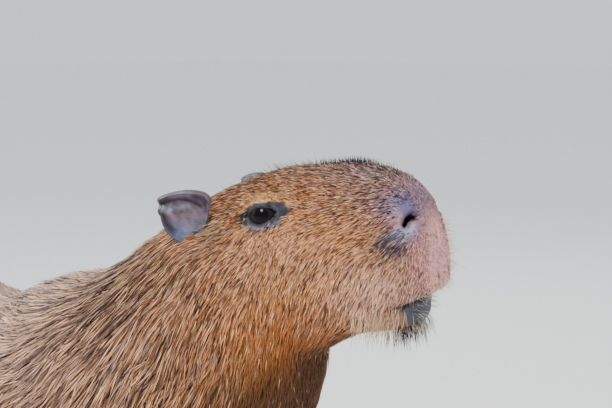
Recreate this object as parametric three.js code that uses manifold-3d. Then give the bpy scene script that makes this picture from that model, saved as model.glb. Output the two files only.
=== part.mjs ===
// A life-size capybara standing with its head raised and turned a little to its left.
// Millimetres, +X forward, +Y to the animal's left, +Z up, soles on z = 0.
import * as THREE from "three";
import { MeshSurfaceSampler } from "three/addons/math/MeshSurfaceSampler.js";
import { mergeVertices } from "three/addons/utils/BufferGeometryUtils.js";
import Module from "manifold-3d";

const wasm = await Module();
wasm.setup();

// Driving dimensions
const withersHeight = 525;
const rumpHeight = 518;
const torsoHalfWidth = 166;
const headYaw = 18;
const headPitch = 12;
const eyesAt = [430, 25, 610];
const eyeRadius = 13.5;
const eyeAside = 57;
const coatDepth = 10;
const gap = 0.3;
const far = 2000;

// Turns degrees into radians.
const radians = THREE.MathUtils.degToRad;

// The head's own frame: u forward along the muzzle, v to the left, w up, with its origin between the eyes.
const headPlace = new THREE.Matrix4()
  .makeTranslation(...eyesAt)
  .multiply(new THREE.Matrix4().makeRotationZ(radians(headYaw)))
  .multiply(new THREE.Matrix4().makeRotationY(radians(-headPitch)));

// A smooth curve through rows of numbers, from the first row at 0 to the last at 1.
function rowAt(rows, t) {
  const last = rows.length - 1;
  const at = t * last;
  const i = Math.min(Math.floor(at), last - 1);
  const f = at - i;
  const before = rows[Math.max(i - 1, 0)];
  const after = rows[Math.min(i + 2, last)];
  return rows[i].map((b, k) => {
    const [a, c, d] = [before[k], rows[i + 1][k], after[k]];
    const bend = (2 * a - 5 * b + 4 * c - d) * f + (3 * b - a - 3 * c + d) * f * f;
    return b + 0.5 * f * (c - a + bend);
  });
}

// A closed skin through rings of points, with a fan over each end, its faces pointing outwards.
function skinThrough(rings) {
  const around = rings[0].length;
  const points = rings.flat();
  const faces = [];
  for (let r = 0; r < rings.length - 1; r++) {
    for (let i = 0; i < around; i++) {
      const a = r * around + i;
      const b = r * around + ((i + 1) % around);
      faces.push(a, b, b + around, a, b + around, a + around);
    }
  }
  const ends = [rings[0], rings.at(-1)];
  ends.forEach((ring, e) => {
    const centre = points.push(ring.reduce((s, p) => s.add(p), new THREE.Vector3()).divideScalar(around)) - 1;
    const start = e === 0 ? 0 : (rings.length - 1) * around;
    for (let i = 0; i < around; i++) {
      const a = start + i;
      const b = start + ((i + 1) % around);
      faces.push(...(e === 0 ? [centre, b, a] : [centre, a, b]));
    }
  });
  const geometry = new THREE.BufferGeometry().setFromPoints(points);
  geometry.setIndex(faces);
  return geometry;
}

// A geometry as a closed solid, turned so that its faces point outwards.
function solid(geometry) {
  const bare = geometry.index ? geometry.toNonIndexed() : geometry.clone();
  bare.deleteAttribute("normal");
  bare.deleteAttribute("uv");
  const merged = mergeVertices(bare, 1e-3);
  const corners = Array.from(merged.index.array);
  const kept = corners.filter((_, i) => {
    const [a, b, c] = corners.slice(i - (i % 3), i - (i % 3) + 3);
    return a !== b && b !== c && c !== a;
  });
  const triVerts = new Uint32Array(kept);
  const [p, q, r] = [new THREE.Vector3(), new THREE.Vector3(), new THREE.Vector3()];
  let volume = 0;
  for (let i = 0; i < triVerts.length; i += 3) {
    [p, q, r].forEach((v, k) => v.fromBufferAttribute(merged.attributes.position, triVerts[i + k]));
    volume += p.dot(q.cross(r));
  }
  if (volume < 0) triVerts.reverse();
  const vertProperties = merged.attributes.position.array;
  return new wasm.Manifold(new wasm.Mesh({ numProp: 3, vertProperties, triVerts }));
}

// A solid's surface as a geometry.
function surfaceOf(made) {
  const { numProp, numVert, vertProperties, triVerts } = made.getMesh();
  const position = new Float32Array(numVert * 3);
  for (let i = 0; i < numVert; i++) {
    position.set(vertProperties.subarray(i * numProp, i * numProp + 3), i * 3);
  }
  const geometry = new THREE.BufferGeometry();
  geometry.setAttribute("position", new THREE.BufferAttribute(position, 3));
  geometry.setIndex(new THREE.BufferAttribute(triVerts, 1));
  geometry.computeVertexNormals();
  return geometry;
}

// The largest closed surface of a solid.
function largest(made) {
  const parts = made.decompose().sort((a, b) => b.volume() - a.volume());
  return parts[0];
}

const union = (solids) => solids.reduce((a, b) => a.add(b));

// One ring of the body from its keel up to its ridge, egg-shaped, widest at a share of its height.
function ring(ridge, keel, side, half, { around = 24, widest = 0.5, square = 2.2 } = {}) {
  const middle = keel.clone().lerp(ridge, widest);
  const points = [];
  for (let i = 0; i < around; i++) {
    const angle = (2 * Math.PI * (i + 0.5)) / around;
    const [c, s] = [Math.cos(angle), Math.sin(angle)];
    const out = Math.sign(c) * Math.abs(c) ** (2 / square) * half;
    const rise = Math.abs(s) ** (2 / square);
    points.push(middle.clone().lerp(s > 0 ? ridge : keel, rise).addScaledVector(side, out));
  }
  return points;
}

// A ball stretched to three half sizes and placed by a matrix.
function ellipsoid(halves, place, detail = 8) {
  const geometry = new THREE.SphereGeometry(1, 2 * detail, detail);
  return solid(geometry.scale(...halves).applyMatrix4(place));
}

const placeAt = (x, y, z) => new THREE.Matrix4().makeTranslation(x, y, z);

// The half of space that a normal points into, as a large block that starts at a point moved on by a shift.
function halfSpace(point, normal, shift = 0) {
  const block = new THREE.BoxGeometry(far, far, far).translate(0, 0, far / 2);
  const turn = new THREE.Quaternion().setFromUnitVectors(new THREE.Vector3(0, 0, 1), normal);
  block.applyQuaternion(turn);
  const at = point.clone().addScaledVector(normal, shift);
  return solid(block.translate(at.x, at.y, at.z));
}

// Torso, from the rump to the front of the chest
const torsoRows = [
  // ridge x, ridge z, keel x, keel z, half width
  [-566, 0.74 * rumpHeight, -566, 372, 0],
  [-558, 0.82 * rumpHeight, -550, 312, 0.36 * torsoHalfWidth],
  [-528, 0.9 * rumpHeight, -515, 262, 0.61 * torsoHalfWidth],
  [-470, 0.965 * rumpHeight, -455, 222, 0.79 * torsoHalfWidth],
  [-380, rumpHeight, -365, 192, 0.9 * torsoHalfWidth],
  [-270, 0.987 * rumpHeight, -260, 175, 0.97 * torsoHalfWidth],
  [-150, 0.948 * rumpHeight, -150, 166, 1.01 * torsoHalfWidth],
  [-50, 0.913 * withersHeight, -50, 165, 1.02 * torsoHalfWidth],
  [50, 0.935 * withersHeight, 45, 169, 0.98 * torsoHalfWidth],
  [135, 0.984 * withersHeight, 140, 180, 0.91 * torsoHalfWidth],
  [215, withersHeight, 230, 200, 0.84 * torsoHalfWidth],
  [280, 0.975 * withersHeight, 305, 226, 0.74 * torsoHalfWidth],
  [325, 0.88 * withersHeight, 350, 262, 0.56 * torsoHalfWidth],
  [358, 0.77 * withersHeight, 372, 305, 0.32 * torsoHalfWidth],
  [376, 0.69 * withersHeight, 378, 340, 0],
];

function torso(along = 24) {
  const rings = [];
  for (let i = 0; i <= along; i++) {
    const [rx, rz, kx, kz, half] = rowAt(torsoRows, i / along);
    const ridge = new THREE.Vector3(rx, 0, rz - coatDepth);
    const keel = new THREE.Vector3(kx, 0, kz);
    const side = new THREE.Vector3(0, 1, 0);
    const bare = Math.max(half - coatDepth * Math.min(1, (3 * half) / torsoHalfWidth), 0);
    rings.push(ring(ridge, keel, side, bare, { around: 20, widest: 0.44, square: 2.25 }));
  }
  return solid(skinThrough(rings));
}

// The tail is only a stub.
const tail = { x: -562, z: 400, halves: [13, 10, 12], space: [20, 18, 18] };

// Neck, from inside the shoulders up into the head, turning with it
const neckRows = [
  // ridge x, y, z, keel x, y, z, half width, share of the head's turn
  [120, 0, 440, 330, 0, 230, 118, 0],
  [165, 0, 505, 400, 0, 315, 128, 0],
  [219, 0, 533, 438, 1, 385, 120, 0.1],
  [262, 0, 557, 454, 4, 438, 108, 0.25],
  [304, -2, 586, 460, 9, 484, 98, 0.5],
  [338, -3, 604, 462, 16, 520, 88, 0.8],
  [380, 6, 606, 458, 20, 545, 70, 1],
];

function neck(along = 12) {
  const rings = [];
  for (let i = 0; i <= along; i++) {
    const [rx, ry, rz, kx, ky, kz, half, turn] = rowAt(neckRows, i / along);
    const yaw = radians(headYaw * turn);
    const side = new THREE.Vector3(-Math.sin(yaw), Math.cos(yaw), 0);
    const across = new THREE.Vector3(rx - kx, ry - ky, rz - kz).normalize();
    const ridge = new THREE.Vector3(rx, ry, rz).addScaledVector(across, -coatDepth);
    const keel = new THREE.Vector3(kx, ky, kz).addScaledVector(across, 0.4 * coatDepth);
    rings.push(ring(ridge, keel, side, half - 0.6 * coatDepth, { around: 18 }));
  }
  return solid(skinThrough(rings));
}

// Head in its own frame, from the back of the skull to the blunt nose
const headRows = [
  // ridge u, ridge w, keel u, keel w, half width, widest, squareness
  [-122, -25, -118, -60, 20, 0.5, 2],
  [-108, 4, -100, -112, 58, 0.42, 2.1],
  [-80, 23, -68, -138, 73, 0.45, 2.2],
  [-40, 32, -30, -144, 77, 0.48, 2.3],
  [0, 36, 6, -134, 73, 0.5, 2.4],
  [38, 33, 42, -121, 62, 0.5, 2.4],
  [72, 26, 72, -120, 52, 0.5, 2.25],
  [92, 18, 92, -117, 48, 0.48, 2.2],
  [108, 10, 108, -99, 45, 0.46, 2.6],
  [119, -2, 119, -93, 40, 0.46, 2.6],
  [126, -16, 126, -88, 32, 0.45, 2.4],
  [129.5, -34, 129, -72, 17, 0.45, 2.2],
];

// The chin and lower lip, under the overhang of the upper lip
const jawRows = [
  [70, -80, 70, -118, 33, 0.5, 2.2],
  [88, -84, 86, -121, 31, 0.5, 2.2],
  [100, -89, 98, -119, 25, 0.5, 2.2],
  [110, -95, 108, -111, 12, 0.5, 2],
];

function headLoft(rows, along, around) {
  const rings = [];
  for (let i = 0; i <= along; i++) {
    const [ru, rw, ku, kw, half, widest, square] = rowAt(rows, i / along);
    const ridge = new THREE.Vector3(ru, 0, rw);
    const keel = new THREE.Vector3(ku, 0, kw);
    rings.push(ring(ridge, keel, new THREE.Vector3(0, 1, 0), half, { around, widest, square }));
  }
  return solid(skinThrough(rings).applyMatrix4(headPlace));
}

const inHead = (u, v, w) => headPlace.clone().multiply(placeAt(u, v, w));

// The lids: a shallow dome over the eye, slit open along an almond that looks outwards.
const lidDepth = 2.6;
const almond = { length: 33, height: 17, tilt: -4 };

function lidDome(side) {
  const halves = [eyeRadius + 7, eyeRadius + lidDepth, eyeRadius + 3];
  return ellipsoid(halves, inHead(0, side * eyeAside, 0), 7);
}

function almondHole(side) {
  const { length, height, tilt } = almond;
  const outline = new THREE.Shape();
  outline.moveTo(-length / 2, 0);
  outline.quadraticCurveTo(0, height, length / 2, 0);
  outline.quadraticCurveTo(0, -height, -length / 2, 0);
  const depth = 3 * eyeRadius;
  const hole = new THREE.ExtrudeGeometry(outline, { depth, bevelEnabled: false, curveSegments: 6 });
  hole.rotateZ(radians(tilt)).rotateX(Math.PI / 2);
  if (side > 0) hole.translate(0, depth, 0);
  return solid(hole.applyMatrix4(inHead(0, side * eyeAside, 0)));
}

const eyeBall = (side, radius) => ellipsoid([radius, radius, radius], inHead(0, side * eyeAside, 0), 7);

// Nostrils: slanting slits at the sides of the nose
function nostril(side) {
  const place = inHead(119, side * 29, -29)
    .multiply(new THREE.Matrix4().makeRotationZ(radians(side * 48)))
    .multiply(new THREE.Matrix4().makeRotationX(radians(side * -28)));
  return ellipsoid([8, 4, 8], place, 5);
}

// The mouth: a thin lens between the lips, and the slope that it lies on
const mouth = { u: 104, w: -96, slope: 6, reach: 26, aside: 46, open: 0.8 };

function mouthSlit() {
  const tilt = new THREE.Matrix4().makeRotationY(radians(-mouth.slope));
  const place = inHead(mouth.u, 0, mouth.w).multiply(tilt);
  return ellipsoid([mouth.reach, mouth.aside, mouth.open], place, 6);
}

// Legs as limbs that bend through rows of joints
const foreRows = [
  // x, aside, z, half depth, half width
  [262, 78, 450, 50, 34],
  [288, 90, 385, 78, 50],
  [280, 98, 305, 74, 49],
  [258, 101, 235, 54, 41],
  [264, 99, 170, 38, 33],
  [282, 96, 105, 28, 27],
  [292, 95, 60, 25, 26],
  [300, 94, 24, 25, 30],
];

const hindRows = [
  [-440, 66, 440, 60, 40],
  [-420, 92, 378, 104, 60],
  [-380, 108, 305, 92, 57],
  [-356, 118, 245, 66, 46],
  [-388, 116, 192, 47, 36],
  [-428, 113, 150, 35, 30],
  [-446, 111, 114, 31, 26],
  [-432, 110, 78, 27, 27],
  [-406, 109, 46, 23, 30],
  [-386, 108, 26, 20, 32],
];

function limb(rows, side, { along = 13, around = 12 } = {}) {
  const rings = [];
  const centre = (t) => {
    const [x, aside, z] = rowAt(rows, t);
    return new THREE.Vector3(x, side * aside, z);
  };
  for (let i = 0; i <= along; i++) {
    const t = i / along;
    const [, , , deep, wide] = rowAt(rows, t);
    const step = 0.01;
    const heading = centre(Math.min(t + step, 1)).sub(centre(Math.max(t - step, 0))).normalize();
    const across = new THREE.Vector3(0, 1, 0);
    const ahead = across.clone().cross(heading).normalize();
    const up = ahead.clone().multiplyScalar(deep);
    rings.push(ring(centre(t).add(up), centre(t).sub(up), across, wide, { around, square: 2 }));
  }
  return solid(skinThrough(rings));
}

// Feet: a pad, and toes that spread from it, each ending in a blunt hoof-like claw
const feet = {
  fore: { x: 312, aside: 94, pad: [30, 27, 19], toes: 4, spread: 34, radius: 9.5, lengths: [30, 40, 39, 28] },
  hind: { x: -366, aside: 108, pad: [40, 30, 20], toes: 3, spread: 26, radius: 11.5, lengths: [44, 52, 44] },
};
const claw = { length: 17, radius: 6.4, sunk: 2, room: [60, 26, 40] };

function toeLine(foot, side, i) {
  const { x, aside, pad, toes, spread, lengths } = foot;
  const share = i / (toes - 1) - 0.5;
  const turn = radians(share * spread * 1.6) * side;
  const root = new THREE.Vector3(x + pad[0] * 0.35, side * (aside + share * pad[1] * 1.45), 0);
  const heading = new THREE.Vector3(Math.cos(turn), Math.sin(turn), 0);
  return { root, heading, length: lengths[i] };
}

function toe(foot, side, i) {
  const { root, heading, length } = toeLine(foot, side, i);
  const rows = [
    [0, 16, 0.85],
    [0.5, 14, 1.0],
    [1.05, 7.5, 0.7],
  ];
  const rings = rows.map(([share, z, thick]) => {
    const at = root.clone().addScaledVector(heading, share * length).setZ(z);
    const up = new THREE.Vector3(0, 0, foot.radius * thick);
    const across = new THREE.Vector3(-heading.y, heading.x, 0);
    return ring(at.clone().add(up), at.sub(up), across, foot.radius * thick, { around: 6, square: 2.4 });
  });
  return solid(skinThrough(rings));
}

function clawOf(foot, side, i) {
  const { root, heading, length } = toeLine(foot, side, i);
  const rows = [
    [-0.3, 9, 0.95],
    [0.2, 8, 1.0],
    [0.6, 5.6, 0.8],
    [1.0, 2.6, 0.35],
  ];
  const rings = rows.map(([share, z, thick]) => {
    const at = root.clone().addScaledVector(heading, length + share * claw.length).setZ(z);
    const up = new THREE.Vector3(0, 0, claw.radius * thick * 0.85);
    const across = new THREE.Vector3(-heading.y, heading.x, 0);
    return ring(at.clone().add(up), at.sub(up), across, claw.radius * thick, { around: 6, square: 2.3 });
  });
  return solid(skinThrough(rings));
}

// The room in front of a toe's end, which its claw takes.
function clawRoom(start, heading) {
  const [long, wide, tall] = claw.room;
  const room = new THREE.BoxGeometry(long, wide, tall).translate(long / 2, 0, 0);
  return solid(room.rotateZ(Math.atan2(heading.y, heading.x)).translate(start.x, start.y, 0));
}

function footPad(foot, side) {
  const [long, wide] = foot.pad;
  const web = ellipsoid([0.8 * long, wide, 7], placeAt(foot.x + 0.75 * long, side * foot.aside, 5), 3);
  return ellipsoid(foot.pad, placeAt(foot.x, side * foot.aside, 15), 5).add(web);
}

// Ears: thin rounded cups that open outwards, joined to the skull along their front edge.
// In the ear's own frame x runs back to the tip, y out of the cup and z up.
const ear = {
  base: [-52, 61, 12],
  back: [-0.9, 0.42, 0.1],
  outline: [
    [-6, 14],
    [12, 20],
    [32, 20],
    [45, 14],
    [44, -2],
    [35, -18],
    [20, -28],
    [4, -24],
    [-6, -6],
  ],
  hollow: [15, -4],
  cup: 12,
  thick: 2.8,
  rootEdge: 2,
  margin: 1.5,
};

function earPlace(side) {
  const [u, v, w] = ear.base;
  const back = new THREE.Vector3(ear.back[0], ear.back[1] * side, ear.back[2]).normalize();
  const out = new THREE.Vector3(-ear.back[1], ear.back[0] * side, 0).negate().normalize();
  const up = back.clone().cross(out).multiplyScalar(-side);
  const turned = new THREE.Matrix4().makeBasis(back, out, up).setPosition(u, side * v, w);
  return headPlace.clone().multiply(turned);
}

// The cup, or the space round it when it is swollen on all sides.
function earCup(side, swell = 0) {
  const rim = new THREE.CatmullRomCurve3(ear.outline.map(([x, z]) => new THREE.Vector3(x, 0, z)), true);
  const outline = rim.getPoints(15).slice(0, -1);
  const middle = new THREE.Vector3(ear.hollow[0], 0, ear.hollow[1]);
  const layer = (share, lift) => {
    const depth = ear.cup * (1 - share ** 2) ** 0.8 + lift;
    return outline.map((p) => {
      const arm = p.clone().sub(middle);
      const wider = share === 1 ? swell / arm.length() : 0;
      return middle.clone().addScaledVector(arm, share + wider).setY(-depth);
    });
  };
  const shares = [0.35, 0.75, 1];
  const inner = shares.map((share) => layer(share, -swell));
  const outer = shares.reverse().map((share) => layer(share, ear.thick + swell));
  return solid(skinThrough([...inner, ...outer]).applyMatrix4(earPlace(side)));
}

function earRoot(side) {
  const [u, v, w] = ear.base;
  return ellipsoid([15, 8, 19], inHead(u + 1, side * (v - 5), w - 3), 6);
}

// What the ear's own node takes: the cup behind its root edge
const earSpace = (side) => (grow) => {
  const place = earPlace(side);
  const root = new THREE.Vector3(ear.rootEdge, 0, 0).applyMatrix4(place);
  const backwards = new THREE.Vector3(1, 0, 0).transformDirection(place);
  return earCup(side, ear.margin + grow).intersect(halfSpace(root, backwards, -grow));
};

// Materials
const finishes = {
  coat: new THREE.MeshStandardMaterial({ color: 0x9a6b45, roughness: 0.9, metalness: 0 }),
  bareSkin: new THREE.MeshStandardMaterial({ color: 0x5b5158, roughness: 0.65, metalness: 0 }),
  eye: new THREE.MeshStandardMaterial({ color: 0x16100d, roughness: 0.08, metalness: 0 }),
  claw: new THREE.MeshStandardMaterial({ color: 0x3a322e, roughness: 0.45, metalness: 0 }),
};

const capybara = new THREE.Group();
const sides = { right: -1, left: 1 };
const upward = new THREE.Vector3(0, 0, 1);
const aboveFloor = halfSpace(new THREE.Vector3(), upward);

function addNode(name, made, finish) {
  const mesh = new THREE.Mesh(surfaceOf(largest(made)), finishes[finish]);
  mesh.name = name;
  capybara.add(mesh);
}

// The whole animal in one piece, with the openings of its face
function wholeAnimal() {
  const flesh = [torso(), neck(), headLoft(headRows, 20, 20), headLoft(jawRows, 4, 12)];
  flesh.push(ellipsoid(tail.halves, placeAt(tail.x, 0, tail.z), 5));
  for (const side of Object.values(sides)) {
    flesh.push(limb(foreRows, side), limb(hindRows, side, { along: 16 }));
    flesh.push(lidDome(side), earRoot(side), earCup(side));
    for (const foot of Object.values(feet)) {
      flesh.push(footPad(foot, side));
      for (let i = 0; i < foot.toes; i++) flesh.push(toe(foot, side, i));
    }
  }
  const hollows = [mouthSlit()];
  for (const side of Object.values(sides)) {
    hollows.push(eyeBall(side, eyeRadius + gap), almondHole(side), nostril(side));
  }
  return hollows.reduce((body, hollow) => body.subtract(hollow), union(flesh)).intersect(aboveFloor);
}

// Spaces that divide the body. Each gives the solid that cuts its part out, grown by a gap,
// and says whether a point lies inside it with some room to spare.
const ball = (x, y, z, halves) => ({
  solid: (grow) => ellipsoid(halves.map((h) => h + grow), placeAt(x, y, z), 6),
  holds: (p, room = 0) => {
    const away = [p.x - x, p.y - y, p.z - z];
    return Math.hypot(...away.map((d, k) => d / (halves[k] - room))) < 1;
  },
});

function box(low, high) {
  return {
    solid: (grow) => {
      const size = high.map((h, k) => h - low[k] + 2 * grow);
      const middle = high.map((h, k) => (h + low[k]) / 2);
      return solid(new THREE.BoxGeometry(...size).translate(...middle));
    },
    holds: (p, room = 0) => p.toArray().every((c, k) => c > low[k] + room && c < high[k] - room),
  };
}

const half = (point, normal) => ({
  solid: (grow) => halfSpace(point, normal, -grow),
  holds: (p, room = 0) => p.clone().sub(point).dot(normal) > room,
});

const both = (a, b) => ({
  solid: (grow) => a.solid(grow).intersect(b.solid(grow)),
  holds: (p, room) => a.holds(p, room) && b.holds(p, room),
});

// Planes across the midline, in the body's frame and in the head's.
const bodyCut = (x, z, nx, nz) => half(new THREE.Vector3(x, 0, z), new THREE.Vector3(nx, 0, nz).normalize());

const headCut = (u, w, nu, nw) => {
  const point = new THREE.Vector3(u, 0, w).applyMatrix4(headPlace);
  return half(point, new THREE.Vector3(nu, 0, nw).normalize().transformDirection(headPlace));
};

const outwards = (side, inner) => (side > 0 ? [inner, 400] : [-400, -inner]);

const legBox = (side, [back, front], inner, top) => {
  const [low, high] = outwards(side, inner);
  return box([back, low, -5], [front, high, top]);
};

const slope = radians(mouth.slope);
const underLips = headCut(mouth.u, mouth.w, Math.sin(slope), -Math.cos(slope));
const spaces = {
  lower_jaw: both(underLips, headCut(mouth.u - 40, mouth.w, 1, -0.4)),
  head: both(headCut(-92, 20, 1, 0.12), headCut(-60, -148, 0.2, 1)),
};
for (const [word, side] of Object.entries(sides)) {
  spaces[`upper_foreleg_${word}`] = ball(283, side * 114, 332, [98, 80, 135]);
  spaces[`thigh_${word}`] = ball(-385, side * 128, 300, [122, 80, 150]);
  spaces[`forefoot_${word}`] = legBox(side, [100, 600], 2, 58);
  spaces[`hindfoot_${word}`] = legBox(side, [-700, -200], 2, 92);
  spaces[`forearm_${word}`] = legBox(side, [212, 600], 58, 203);
  spaces[`shank_${word}`] = legBox(side, [-700, -300], 60, 188);
}
spaces.neck = bodyCut(168, 520, 0.6, 0.8);
spaces.chest = bodyCut(120, 0, 1, 0);
spaces.trunk = bodyCut(-252, 0, 1, 0);
spaces.tail = ball(tail.x - 8, 0, tail.z, tail.space);
spaces.rump = { holds: () => true };

const spaceAt = (p) => Object.keys(spaces).find((name) => spaces[name].holds(p));

// Coat: flat tapered locks that lie along the body, overlap, and lift towards their tips.
// Stations run from the root, sunk in the body, to the tip. Edge and ridge are heights over the body.
const locks = {
  tries: 9000,
  width: 0.66,
  vary: 0.2,
  stray: 16,
  seed: 13,
  steps: 6,
  shorter: [1, 0.82, 0.66, 0.52],
  stations: [
    { at: 0, edge: -6, ridge: -2, breadth: 0.6 },
    { at: 1 / 3, edge: 3, ridge: 8, breadth: 1 },
    { at: 2 / 3, edge: 6.5, ridge: 11, breadth: 0.8 },
    { at: 1, edge: 12, ridge: 12, breadth: 0 },
  ],
  clear: 1.2,
  lowest: 205,
};

// Where the coat is long: its length, how far apart its locks stand, and how steeply they hang.
const longCoat = {
  neck: { length: 92, spacing: 58, steep: 1.1 },
  chest: { length: 96, spacing: 64, steep: 0.8 },
  trunk: { length: 112, spacing: 70, steep: 0.45 },
  rump: { length: 112, spacing: 70, steep: 0.45 },
  thigh: { length: 86, spacing: 70, steep: 1.6 },
  upper_foreleg: { length: 80, spacing: 66, steep: 1.8 },
};

// The coat at a place: its region, its length, shorter low on the body, and which way it lies there.
function coatAt(p, normal) {
  const name = spaceAt(p);
  const { length, spacing, steep } = longCoat[name.replace(/_(right|left)$/, "")] ?? { length: 0, steep: 0 };
  const upper = THREE.MathUtils.smoothstep(p.z, 190, 330);
  const rear = THREE.MathUtils.smoothstep(-p.x, 440, 560);
  const front = THREE.MathUtils.smoothstep(p.x, 330, 430);
  const lie = new THREE.Vector3(-1 + 0.75 * front + rear, 0.18 * Math.sign(p.y), -steep - 1.2 * front - rear);
  const underneath = normal.z < -0.5 || p.z < locks.lowest;
  return { name, spacing, length: underneath ? 0 : length * (0.7 + 0.3 * upper), lie: lie.normalize() };
}

// The place on a surface straight under or over a point, as seen along a normal.
const reach = 40;
const ray = new THREE.Raycaster(undefined, undefined, 0, 2 * reach);

function dropTo(surface, point, normal) {
  ray.set(point.clone().addScaledVector(normal, reach), normal.clone().negate());
  return ray.intersectObject(surface)[0];
}

// Walks over a surface from a root along the lie of the coat, and returns the places passed.
function walk(surface, root, bend, length) {
  const path = [];
  let { point, normal } = root;
  for (let i = 0; i <= locks.steps; i++) {
    const heading = coatAt(point, normal).lie.projectOnPlane(normal).normalize();
    heading.applyAxisAngle(normal, bend * (0.5 + i / locks.steps));
    path.push({ point, normal, heading });
    const hit = dropTo(surface, point.clone().addScaledVector(heading, length / locks.steps), normal);
    if (!hit) return null;
    point = hit.point;
    normal = hit.face.normal.clone().lerp(normal, 0.5).normalize();
  }
  return path;
}

// The three corners of a lock's section: its edges, which follow the body, and the ridge between them.
function sectionAt(surface, path, { at, edge, ridge, breadth }, wide) {
  const { point, normal, heading } = path[Math.round(at * locks.steps)];
  const top = point.clone().addScaledVector(normal, ridge);
  if (!breadth) return [top, top.clone(), top.clone()];
  const across = normal.clone().cross(heading).setLength(wide * breadth);
  const [left, right] = [across, across.clone().negate()].map((aside) => {
    const hit = dropTo(surface, point.clone().add(aside), normal);
    return hit && hit.point.clone().addScaledVector(normal, edge);
  });
  return left && right && [left, top, right];
}

// One lock on its path, or null where it would reach out of the space that its root is in.
function lockOn(surface, path, name, wide) {
  const rings = locks.stations.map((station) => sectionAt(surface, path, station, wide));
  if (!rings.every(Boolean)) return null;
  for (let k = 1; k < rings.length; k++) {
    for (let c = 0; c < 3; c++) {
      for (const share of [0, 1 / 3, 2 / 3, 1]) {
        const p = rings[k - 1][c].clone().lerp(rings[k][c], share);
        if (spaceAt(p) !== name || !clearOfOthers(p, name)) return null;
      }
    }
  }
  return solid(skinThrough(rings));
}

// Whether a place is inside its own space, and outside the spaces cut before it, with room to spare.
function clearOfOthers(p, name) {
  for (const [other, space] of Object.entries(spaces)) {
    if (other === name) return space.holds(p, locks.clear);
    if (space.holds(p, -locks.clear)) return false;
  }
  return true;
}

// Roots spread evenly over the coat by seeded draws, each with its lock, shorter where it would not fit.
function coatOn(body) {
  const geometry = surfaceOf(body).toNonIndexed();
  geometry.computeVertexNormals();
  const surface = new THREE.Mesh(geometry);
  THREE.MathUtils.seededRandom(locks.seed);
  const random = () => THREE.MathUtils.seededRandom();
  const sampler = new MeshSurfaceSampler(surface).setRandomGenerator(random).build();
  const roots = [];
  const made = [];
  for (let i = 0; i < locks.tries; i++) {
    const root = { point: new THREE.Vector3(), normal: new THREE.Vector3() };
    sampler.sample(root.point, root.normal);
    const { name, length, spacing } = coatAt(root.point, root.normal);
    if (!length || roots.some((r) => r.distanceTo(root.point) < spacing)) continue;
    const full = length * (1 + locks.vary * (2 * random() - 1));
    const bend = radians(locks.stray * (2 * random() - 1));
    for (const share of locks.shorter) {
      const path = walk(surface, root, bend, full * share);
      const halfWidth = (locks.width * full * (1 + share)) / 4;
      const lock = path && lockOn(surface, path, name, halfWidth);
      if (!lock) continue;
      roots.push(root.point);
      made.push(lock);
      break;
    }
  }
  return made;
}

const body = wholeAnimal();
let rest = coatOn(body).reduce((a, b) => a.add(b), body);

// Parts a piece from the rest: what is inside a space, with a thin gap round it.
function part(name, space, finish = "coat") {
  addNode(name, rest.intersect(space.solid(0)), finish);
  rest = rest.subtract(space.solid(gap));
}

// Claws, and the ends of the toes behind them
for (const [word, side] of Object.entries(sides)) {
  for (const [kind, foot] of Object.entries(feet)) {
    for (let i = 0; i < foot.toes; i++) {
      const { root, heading, length } = toeLine(foot, side, i);
      const start = root.clone().addScaledVector(heading, length - claw.sunk);
      const made = clawOf(foot, side, i).intersect(aboveFloor).intersect(halfSpace(start, heading, gap));
      addNode(`claw_${kind}_${word}_${i + 1}`, made, "claw");
      rest = rest.subtract(halfSpace(start, heading).intersect(clawRoom(start, heading)));
    }
  }
}

for (const [word, side] of Object.entries(sides)) {
  part(`ear_${word}`, { solid: earSpace(side) }, "bareSkin");
  addNode(`eye_${word}`, eyeBall(side, eyeRadius), "eye");
}
for (const [name, space] of Object.entries(spaces)) {
  if (space.solid) part(name, space);
}
addNode("rump", rest, "coat");

// The origin is on the floor, under the middle of the animal's own box.
const middle = new THREE.Box3().setFromObject(capybara).getCenter(new THREE.Vector3());
capybara.position.set(-middle.x, -middle.y, 0);

export default new THREE.Group().add(capybara);
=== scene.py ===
import math

import bmesh
import bpy
import numpy as np
from mathutils import Matrix, Vector
from mathutils.bvhtree import BVHTree


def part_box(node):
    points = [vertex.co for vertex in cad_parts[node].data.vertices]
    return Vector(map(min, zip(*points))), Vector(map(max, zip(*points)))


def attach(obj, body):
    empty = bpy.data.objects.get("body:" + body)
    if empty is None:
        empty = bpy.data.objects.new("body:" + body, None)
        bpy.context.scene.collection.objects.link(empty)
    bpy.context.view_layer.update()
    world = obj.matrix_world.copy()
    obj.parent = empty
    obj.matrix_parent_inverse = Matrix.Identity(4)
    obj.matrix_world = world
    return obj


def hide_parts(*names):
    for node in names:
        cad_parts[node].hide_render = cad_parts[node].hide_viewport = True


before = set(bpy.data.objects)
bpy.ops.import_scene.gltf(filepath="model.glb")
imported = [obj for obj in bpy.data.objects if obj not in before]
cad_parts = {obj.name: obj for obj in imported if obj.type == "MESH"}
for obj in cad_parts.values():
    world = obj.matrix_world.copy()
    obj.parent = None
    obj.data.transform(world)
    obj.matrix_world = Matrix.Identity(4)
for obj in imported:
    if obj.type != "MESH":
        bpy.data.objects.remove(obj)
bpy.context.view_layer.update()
mm = 0.001
sides = {"right": -1, "left": 1}


# The head's own frame: u along the muzzle, v to the left, w up, set by the two eyes.
def middleOf(node):
    low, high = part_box(node)
    return (low + high) / 2


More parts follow.
